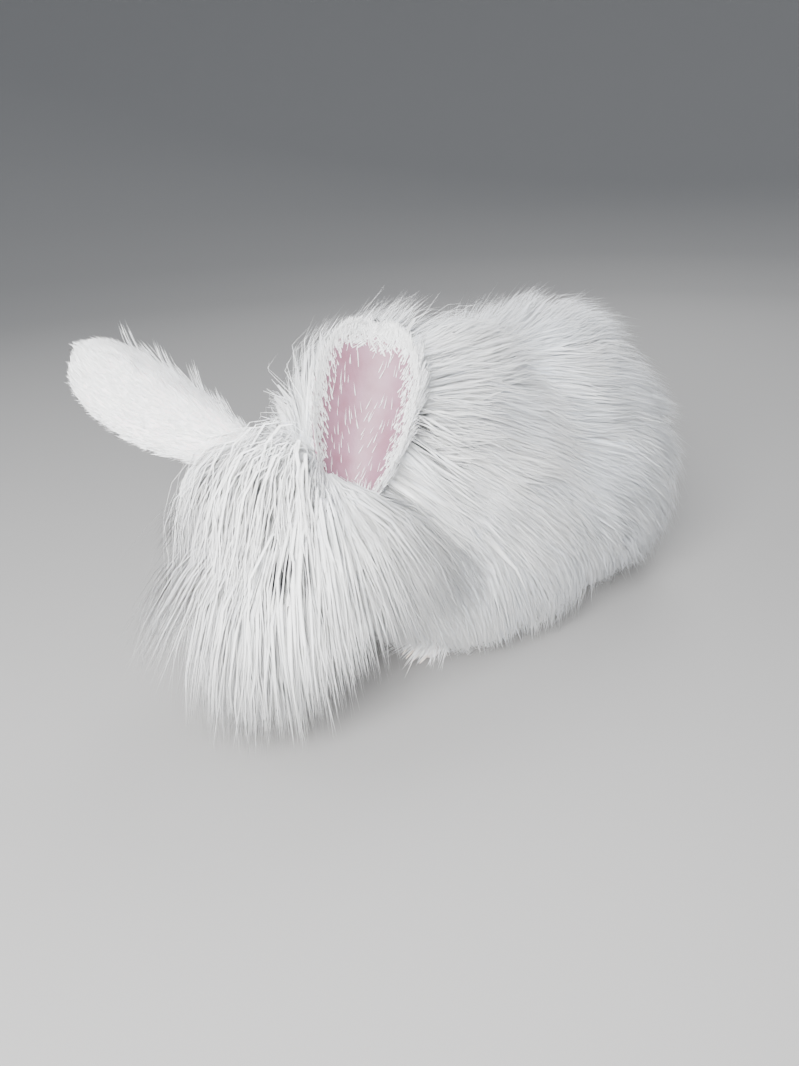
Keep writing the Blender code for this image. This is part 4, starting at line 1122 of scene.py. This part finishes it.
class RABBIT_OT_forelock(bpy.types.Operator):
    """Hair that arches forward between the ears"""
    bl_idname = "rabbit.forelock"
    bl_label = "Forelock"

    def execute(self, context):
        rng, skin, count = np.random.default_rng(SEEDS["forelock"]), skin_map(), FORELOCK_TUFTS
        x, y, z = in_head(skin.centres).T
        weight = (skin.head | skin.body) * (x < 0.020) * (x > -0.034) * (y > 0.002)
        roots = skin.roots(weight * (y < 0.060) * (z > 0.006) * 1.0, count, rng)
        yaw = math.radians(HEAD_YAW)
        ahead, side = np.array(((math.sin(yaw), -math.cos(yaw), 0), (math.cos(yaw), math.sin(yaw), 0)))
        starts = 0.48 * ahead + np.array((0, 0, 0.78)) + side * (in_head(roots)[:, :1] * 24 - 0.14)
        starts = unit(starts + 0.14 * rng.normal(size=starts.shape))
        lengths = context.scene.rabbit_sizes.fringe_length * rng.uniform(0.55, 1.0, count)
        clear, droop = rng.uniform(0.008, 0.030, count), np.full(count, 0.95)
        pace = rng.uniform(1.2, 2.3, count)
        paths = hanging(roots, starts, lengths, clear, droop, pace, FORELOCK_RINGS, early=0.10)
        paths = smoothed(gather(paths, FORELOCK_LOCKS, rng), 3)
        loose = np.linspace(0, FORELOCK_LOOSE, FORELOCK_RINGS)[None, :, None]
        paths += rng.normal(size=paths.shape) * loose
        paths = paths[clear_of_ear(paths)]
        widths = HAIR_WIDTH * rng.uniform(0.4, 1.3, len(paths))
        widths[rng.random(len(paths)) < 0.22] *= 2.2
        out = normals_along(head_height, paths)
        tufts("hair_forelock", paths, out, widths, rng, flatness=0.20, soft=0.9)
        return {"FINISHED"}


class RABBIT_OT_ear_fur(bpy.types.Operator):
    """Velvet on the ears, thick along their rims, with long hair at their edges"""
    bl_idname = "rabbit.ear_fur"
    bl_label = "Ear fur"

    def execute(self, context):
        for j, (side, _) in enumerate(SIDES):
            self.velvet(context.scene.rabbit_sizes, side, np.random.default_rng(SEEDS["velvet"] + j))
            self.strands(side, np.random.default_rng(SEEDS["strands"] + j))
            self.collar(side, np.random.default_rng(SEEDS["collar"] + j))
        return {"FINISHED"}

    def collar(self, side, rng):
        """Tufts round the root of the ear, over the seam between the ear and the head."""
        count, half = COLLAR_TUFTS, EAR_THICKNESS / 2
        along = rng.uniform(EAR_SINK, 0.09, count)
        across = np.clip(rng.uniform(-1.15, 1.15, count), -1, 1)
        face = np.where(rng.random(count) < 0.4, -1.0, 1.0)
        root = ear_point(side, along, across, face * half * 0.6)
        ahead = ear_way(side, (along, across, half), (along + 0.01, across, half))
        out = ear_way(side, (along, across, face * half), (along, across, face * (half + 0.001)))
        lead = unit(ahead + 0.28 * out + 0.14 * rng.normal(size=root.shape))
        paths = straight(root, lead, rng.uniform(0.006, 0.013, count))
        widths = 0.0011 * rng.uniform(0.5, 1.3, count)
        tufts(f"collar_ear_{side}", paths, out, widths, rng, flatness=0.3, soft=0.8)

    def velvet(self, sizes, side, rng):
        """Short fur of the ear's back, rim and tip, its broad border inside and its hollow."""
        count, half = sizes.ear_tufts, EAR_THICKNESS / 2
        kind = rng.random(count)
        along = EAR_SINK + (EAR_END - EAR_SINK) * rng.uniform(0.0, 1.0, count) ** 0.85
        across = rng.uniform(-1, 1, count)
        sign = np.sign(across)
        rim, tip = (kind > RIM_FROM) & (kind <= TIP_FROM), (kind > TIP_FROM) & (kind <= BORDER_FROM)
        border, hollow = (kind > BORDER_FROM) & (kind <= HOLLOW_FROM), kind > HOLLOW_FROM
        across[rim] = sign[rim] * rng.uniform(0.88, 1.0, rim.sum())
        along[tip] = rng.uniform(0.955, 0.984, tip.sum())
        across[border] = sign[border] * (1 - 0.46 * rng.beta(1, 1.9, border.sum()))
        top = border & (rng.random(count) < 0.25)
        along[top] = EAR_END - 0.15 * rng.beta(1, 1.6, top.sum())
        across[top] = rng.uniform(-1, 1, top.sum())
        face = np.where(border | hollow, -1.0, 1.0)
        face[(rim | tip) & (rng.random(count) < 0.5)] = -1.0
        root, here = ear_point(side, along, across, face * half * 0.6), (along, across, face * half)
        ahead = ear_way(side, here, (along + 0.01, across, face * half))
        edge = ear_way(side, here, (along, across + 0.02 * sign, face * half))
        out = ear_way(side, here, (along, across, face * (half + 0.001)))
        toward = np.select([rim, border, hollow], [0.75, 0.80 if side == "left" else 0.45, 0.40], 0.10)
        stand = np.select([rim, border, hollow], [0.16, 0.22, 0.50], 0.16)
        lead = ahead + edge * toward[:, None] + out * stand[:, None] + 0.07 * rng.normal(size=root.shape)
        lengths = sizes.ear_fur * rng.uniform(0.50, 0.85, count)
        paths = straight(root, unit(lead), lengths * np.select([rim | tip, hollow], [0.62, 1.2], 1.0))
        paths += out[:, None] * (np.linspace(0, 1, 4) ** 2 * 0.0006)[None, :, None]
        out = np.where(rim[:, None], unit(0.35 * out + edge), out)
        out = np.where(tip[:, None], unit(0.5 * out + ahead), out)
        widths = np.select([hollow, rim, border], [0.0004, 0.0010, 0.0011], 0.0014)
        widths = widths * rng.uniform(0.6, 1.3, count)
        soft = np.where(rim | tip | border, 0.3, 0.75)[:, None, None]
        tufts(f"fur_ear_{side}", paths, out, widths, rng, flatness=0.3, soft=soft,
              fibre="fur")

    def strands(self, side, rng):
        """Fine long hair off the upper edge, on the right ear off all its upper half, and tufts that
        hang from the lower edge near the root."""
        count = EAR_STRANDS
        low, high = (ear_point(side, 0.5, sign, 0.0) for sign in (-1, 1))
        upper = 1 if (high - low) @ (0.3, 0.8, 1.0) > 0 else -1
        over = rng.random(count) < 0.62
        along = np.where(over, rng.uniform(0.10, 0.80, count), rng.uniform(0.0, 0.20, count))
        inner = np.where(over & (side == "right"), 0.10, 0.90)
        across = np.where(over, upper, -upper) * rng.uniform(inner, 1.0, count)
        root, here = ear_point(side, along, across, 0.0), (along, across, 0.0)
        ahead = ear_way(side, here, (along + 0.01, across, 0.0))
        edge = ear_way(side, here, (along, across * 1.02, 0.0))
        out = ear_way(side, here, (along, across, 0.001))
        aside = 0.30 * edge if side == "left" else 0.45 * out
        lead = np.where(over[:, None], ahead + aside, 0.5 * ahead + 0.5 * edge)
        lead = unit(lead + 0.10 * rng.normal(size=root.shape))
        lengths = np.where(over, rng.uniform(0.012, 0.024, count),
                           rng.uniform(0.030, 0.085, count) * (1 - along))
        path, down = [root], np.array((0, 0, -1.0))
        for i in range(1, 6):
            weight = np.where(over, 0.10, ease(np.array(i / 4.0)))[:, None]
            path.append(path[-1] + unit(lead * (1 - weight) + down * weight) * lengths[:, None] / 5)
        paths = gather(np.stack(path, axis=1), STRAND_LOCKS, rng)
        widths = np.where(over, 0.0005, 0.0008) * rng.uniform(0.5, 1.2, count)
        tufts(f"strands_ear_{side}", paths, np.cross(ahead, edge), widths, rng,
              flatness=0.4, soft=0.0)


class RABBIT_OT_foot_fur(bpy.types.Operator):
    """Short fur on the four feet"""
    bl_idname = "rabbit.foot_fur"
    bl_label = "Foot fur"

    def execute(self, context):
        rng, skin, count = np.random.default_rng(SEEDS["feet"]), skin_map(), FOOT_TUFTS
        roots = skin.roots(skin.legs * (skin.centres[:, 2] > 0.0035) * 1.0, count, rng)
        out, _ = outward(leg_height, roots)
        lead = np.array((0, -1.0, -0.45)) + out * 0.55 + 0.15 * rng.normal(size=roots.shape)
        front, above = roots[:, 1] < -0.04, roots[:, 2] > 0.012
        grown = np.where(front, np.where(above, 4.6, 2.3), 1.3)
        paths = straight(roots, unit(lead), rng.uniform(0.004, 0.007, count) * grown)
        widths = rng.uniform(0.0007, 0.0013, count)
        tufts("fur_feet", paths, out, widths, rng, flatness=0.3, soft=0.6, fibre="fur")
        return {"FINISHED"}


class RABBIT_OT_whiskers(bpy.types.Operator):
    """Whiskers of both sides of the muzzle"""
    bl_idname = "rabbit.whiskers"
    bl_label = "Whiskers"

    def execute(self, context):
        rng = np.random.default_rng(SEEDS["whiskers"])
        grid = [(x, row, column) for x in (1, -1) for row in range(4) for column in range(5)]
        x, row, column = np.array(grid, float).T
        root = np.stack((x * (0.0125 + 0.0006 * column), -0.070 + 0.0042 * column,
                         -0.006 - 0.0034 * row), axis=1)
        lead = np.stack((x, -0.25 + 0.12 * column, 0.35 - 0.22 * row), axis=1)
        lead = unit(lead + 0.08 * rng.normal(size=lead.shape))
        lengths = context.scene.rabbit_sizes.whisker * (0.5 + 0.125 * column)
        u = np.linspace(0, 1, 6)[None, :, None]
        curve = lead[:, None] * u + np.array((0, 0.25, -0.30)) * u ** 2
        local = root[:, None] + curve * lengths[:, None, None]
        paths = moved(local.reshape(-1, 3), head_frame()).reshape(local.shape)
        out, widths = np.zeros_like(paths) + np.array((0, 0, 1.0)), np.full(len(root), WHISKER_WIDTH)
        tufts("whiskers", paths, out, widths, rng, flatness=0.9, soft=0.2, fibre="fur")
        return {"FINISHED"}


class RABBIT_OT_eyes(bpy.types.Operator):
    """Wet ruby eyes"""
    bl_idname = "rabbit.eyes"
    bl_label = "Eyes"

    def execute(self, context):
        made = eye_material(tuple(context.scene.rabbit_colours.eye))
        for side, x in SIDES:
            centre = Vector(eye_place(x))
            piece = in_order(ball(f"eyeball_{side}", centre, (EYE_RADIUS,) * 3, head_frame(), 40, 28))
            piece.data.materials.append(made)
            piece.data.shade_smooth()
            gaze = head_frame().to_3x3() @ Vector((x * 0.93, -0.30, 0.12)).normalized()
            middle = head_frame() @ centre
            lay(piece.data, "gaze", [max(0.0, (v.co - middle).normalized().dot(gaze))
                                     for v in piece.data.vertices])
            finish_piece(piece, [f"eye_{side}"])
        return {"FINISHED"}


class RABBIT_OT_claws(bpy.types.Operator):
    """Claws of the four feet"""
    bl_idname = "rabbit.claws"
    bl_label = "Claws"

    def execute(self, context):
        length = context.scene.rabbit_sizes.claw
        form, tilt = bmesh.new(), Matrix.Rotation(math.radians(101), 4, "X")
        toes = [toe for kind in ("front", "hind") for x in (1, -1)
                for toe in leg_masses(kind, x)[-len(TOES):]]
        for (px, py, _), radii in toes:
            place = Matrix.Translation((px, py - radii[1] - length * 0.22, 0.0046))
            made = bmesh.ops.create_cone(form, cap_ends=True, segments=10, radius1=0.0015,
                                         radius2=0.0003, depth=length, matrix=place @ tilt)
            for vertex in made["verts"]:
                ahead = (py - radii[1] + length * 0.3 - vertex.co.y) / length
                vertex.co.z = max(vertex.co.z - 0.0016 * max(ahead, 0) ** 2, 0.0006)
        horn = plain_material("Claw horn", context.scene.rabbit_colours.claw, 0.35)
        finish_piece(from_form("claws", form, [horn]))
        return {"FINISHED"}


class RABBIT_OT_stage(bpy.types.Operator):
    """Pale floor, soft lights and the camera of the reference view"""
    bl_idname = "rabbit.stage"
    bl_label = "Stage"

    def execute(self, context):
        self.floor(context.scene)
        self.light(context.scene)
        self.camera(context.scene)
        return {"FINISHED"}

    def floor(self, scene):
        """A flat disc whose rim curves up all round."""
        form = bmesh.new()
        bmesh.ops.create_circle(form, cap_ends=True, segments=96, radius=STAGE_RADIUS)
        rim = [edge for edge in form.edges if edge.is_boundary]
        for turn in range(1, STAGE_STEPS + 1):
            grown = bmesh.ops.extrude_edge_only(form, edges=rim)["geom"]
            rim = [item for item in grown if isinstance(item, bmesh.types.BMEdge)]
            step = math.radians(11.25 * turn - 5.6)
            for vertex in {v for edge in rim for v in edge.verts}:
                out = vertex.co.xy.normalized() * STAGE_STEP * math.cos(step)
                vertex.co += Vector((out.x, out.y, STAGE_STEP * math.sin(step)))
        bmesh.ops.recalc_face_normals(form, faces=form.faces)
        grey = plain_material("Stage floor", scene.rabbit_colours.floor, 0.7)
        floor = from_form("floor", form, [grey])

    def light(self, scene):
        for name, place, size, power in LIGHTS:
            light = bpy.data.lights.new(name, "AREA")
            light.shape, light.size, light.energy = "DISK", size, power
            lamp = bpy.data.objects.new(name, light)
            lamp.location = place
            lamp.rotation_euler = (Vector(LIT_PLACE) - Vector(place)).to_track_quat("-Z", "Y").to_euler()
            scene.collection.objects.link(lamp)
        scene.world = scene.world or bpy.data.worlds.new("World")
        scene.world.use_nodes = True
        tree = scene.world.node_tree
        feed(tree, tree.nodes["Background"], {"Color": SKY, "Strength": SKY_STRENGTH})

    def camera(self, scene):
        turn, tilt, roll = (math.radians(a) for a in (CAMERA_TURN, CAMERA_TILT, CAMERA_ROLL))
        ahead = Vector((-math.sin(turn), math.cos(turn), 0)) * math.cos(tilt)
        ahead -= Vector((0, 0, math.sin(tilt)))
        right = Vector((math.cos(turn), math.sin(turn), 0))
        up = right.cross(ahead)
        right, up = (right * math.cos(roll) + up * math.sin(roll),
                     up * math.cos(roll) - right * math.sin(roll))
        basis = Matrix((right, up, -ahead)).transposed().to_4x4()
        camera = bpy.data.objects.new("camera", bpy.data.cameras.new("camera"))
        camera.data.sensor_width = SENSOR
        camera.data.lens = FOCAL_PIXELS / FRAME_PIXELS * SENSOR
        camera.data.clip_start = 0.01
        camera.matrix_world = Matrix.Translation(Vector(CAMERA_PLACE) + shift_to_solids()) @ basis
        scene.collection.objects.link(camera)
        scene.camera = camera


OPERATORS = (RABBIT_OT_skin, RABBIT_OT_eyes, RABBIT_OT_claws, RABBIT_OT_undercoat,
             RABBIT_OT_body_wool, RABBIT_OT_neck_wool, RABBIT_OT_head_hair, RABBIT_OT_forelock,
             RABBIT_OT_ear_fur, RABBIT_OT_foot_fur, RABBIT_OT_whiskers, RABBIT_OT_stage)


class RABBIT_PT_panel(bpy.types.Panel):
    """Sizes, colours and pieces of the rabbit"""
    bl_idname = "RABBIT_PT_panel"
    bl_label = "Angora Rabbit"
    bl_space_type = "VIEW_3D"
    bl_region_type = "UI"
    bl_category = "Rabbit"

    def draw(self, context):
        for group in (context.scene.rabbit_sizes, context.scene.rabbit_colours):
            box = self.layout.box()
            for name in group.__annotations__:
                box.prop(group, name)
        for operator in OPERATORS:
            self.layout.operator(operator.bl_idname)


CLASSES = (RabbitSizes, RabbitColours, *OPERATORS, RABBIT_PT_panel)


def register():
    for item in CLASSES:
        bpy.utils.register_class(item)
    bpy.types.Scene.rabbit_sizes = PointerProperty(type=RabbitSizes)
    bpy.types.Scene.rabbit_colours = PointerProperty(type=RabbitColours)


def unregister():
    del bpy.types.Scene.rabbit_colours
    del bpy.types.Scene.rabbit_sizes
    for item in reversed(CLASSES):
        bpy.utils.unregister_class(item)


def main():
    register()
    bpy.ops.rabbit.skin()
    bpy.ops.rabbit.eyes()
    bpy.ops.rabbit.claws()
    bpy.ops.rabbit.undercoat()
    bpy.ops.rabbit.body_wool()
    bpy.ops.rabbit.neck_wool()
    bpy.ops.rabbit.head_hair()
    bpy.ops.rabbit.forelock()
    bpy.ops.rabbit.ear_fur()
    bpy.ops.rabbit.foot_fur()
    bpy.ops.rabbit.whiskers()
    bpy.ops.rabbit.stage()


if __name__ == "__main__":
    main()
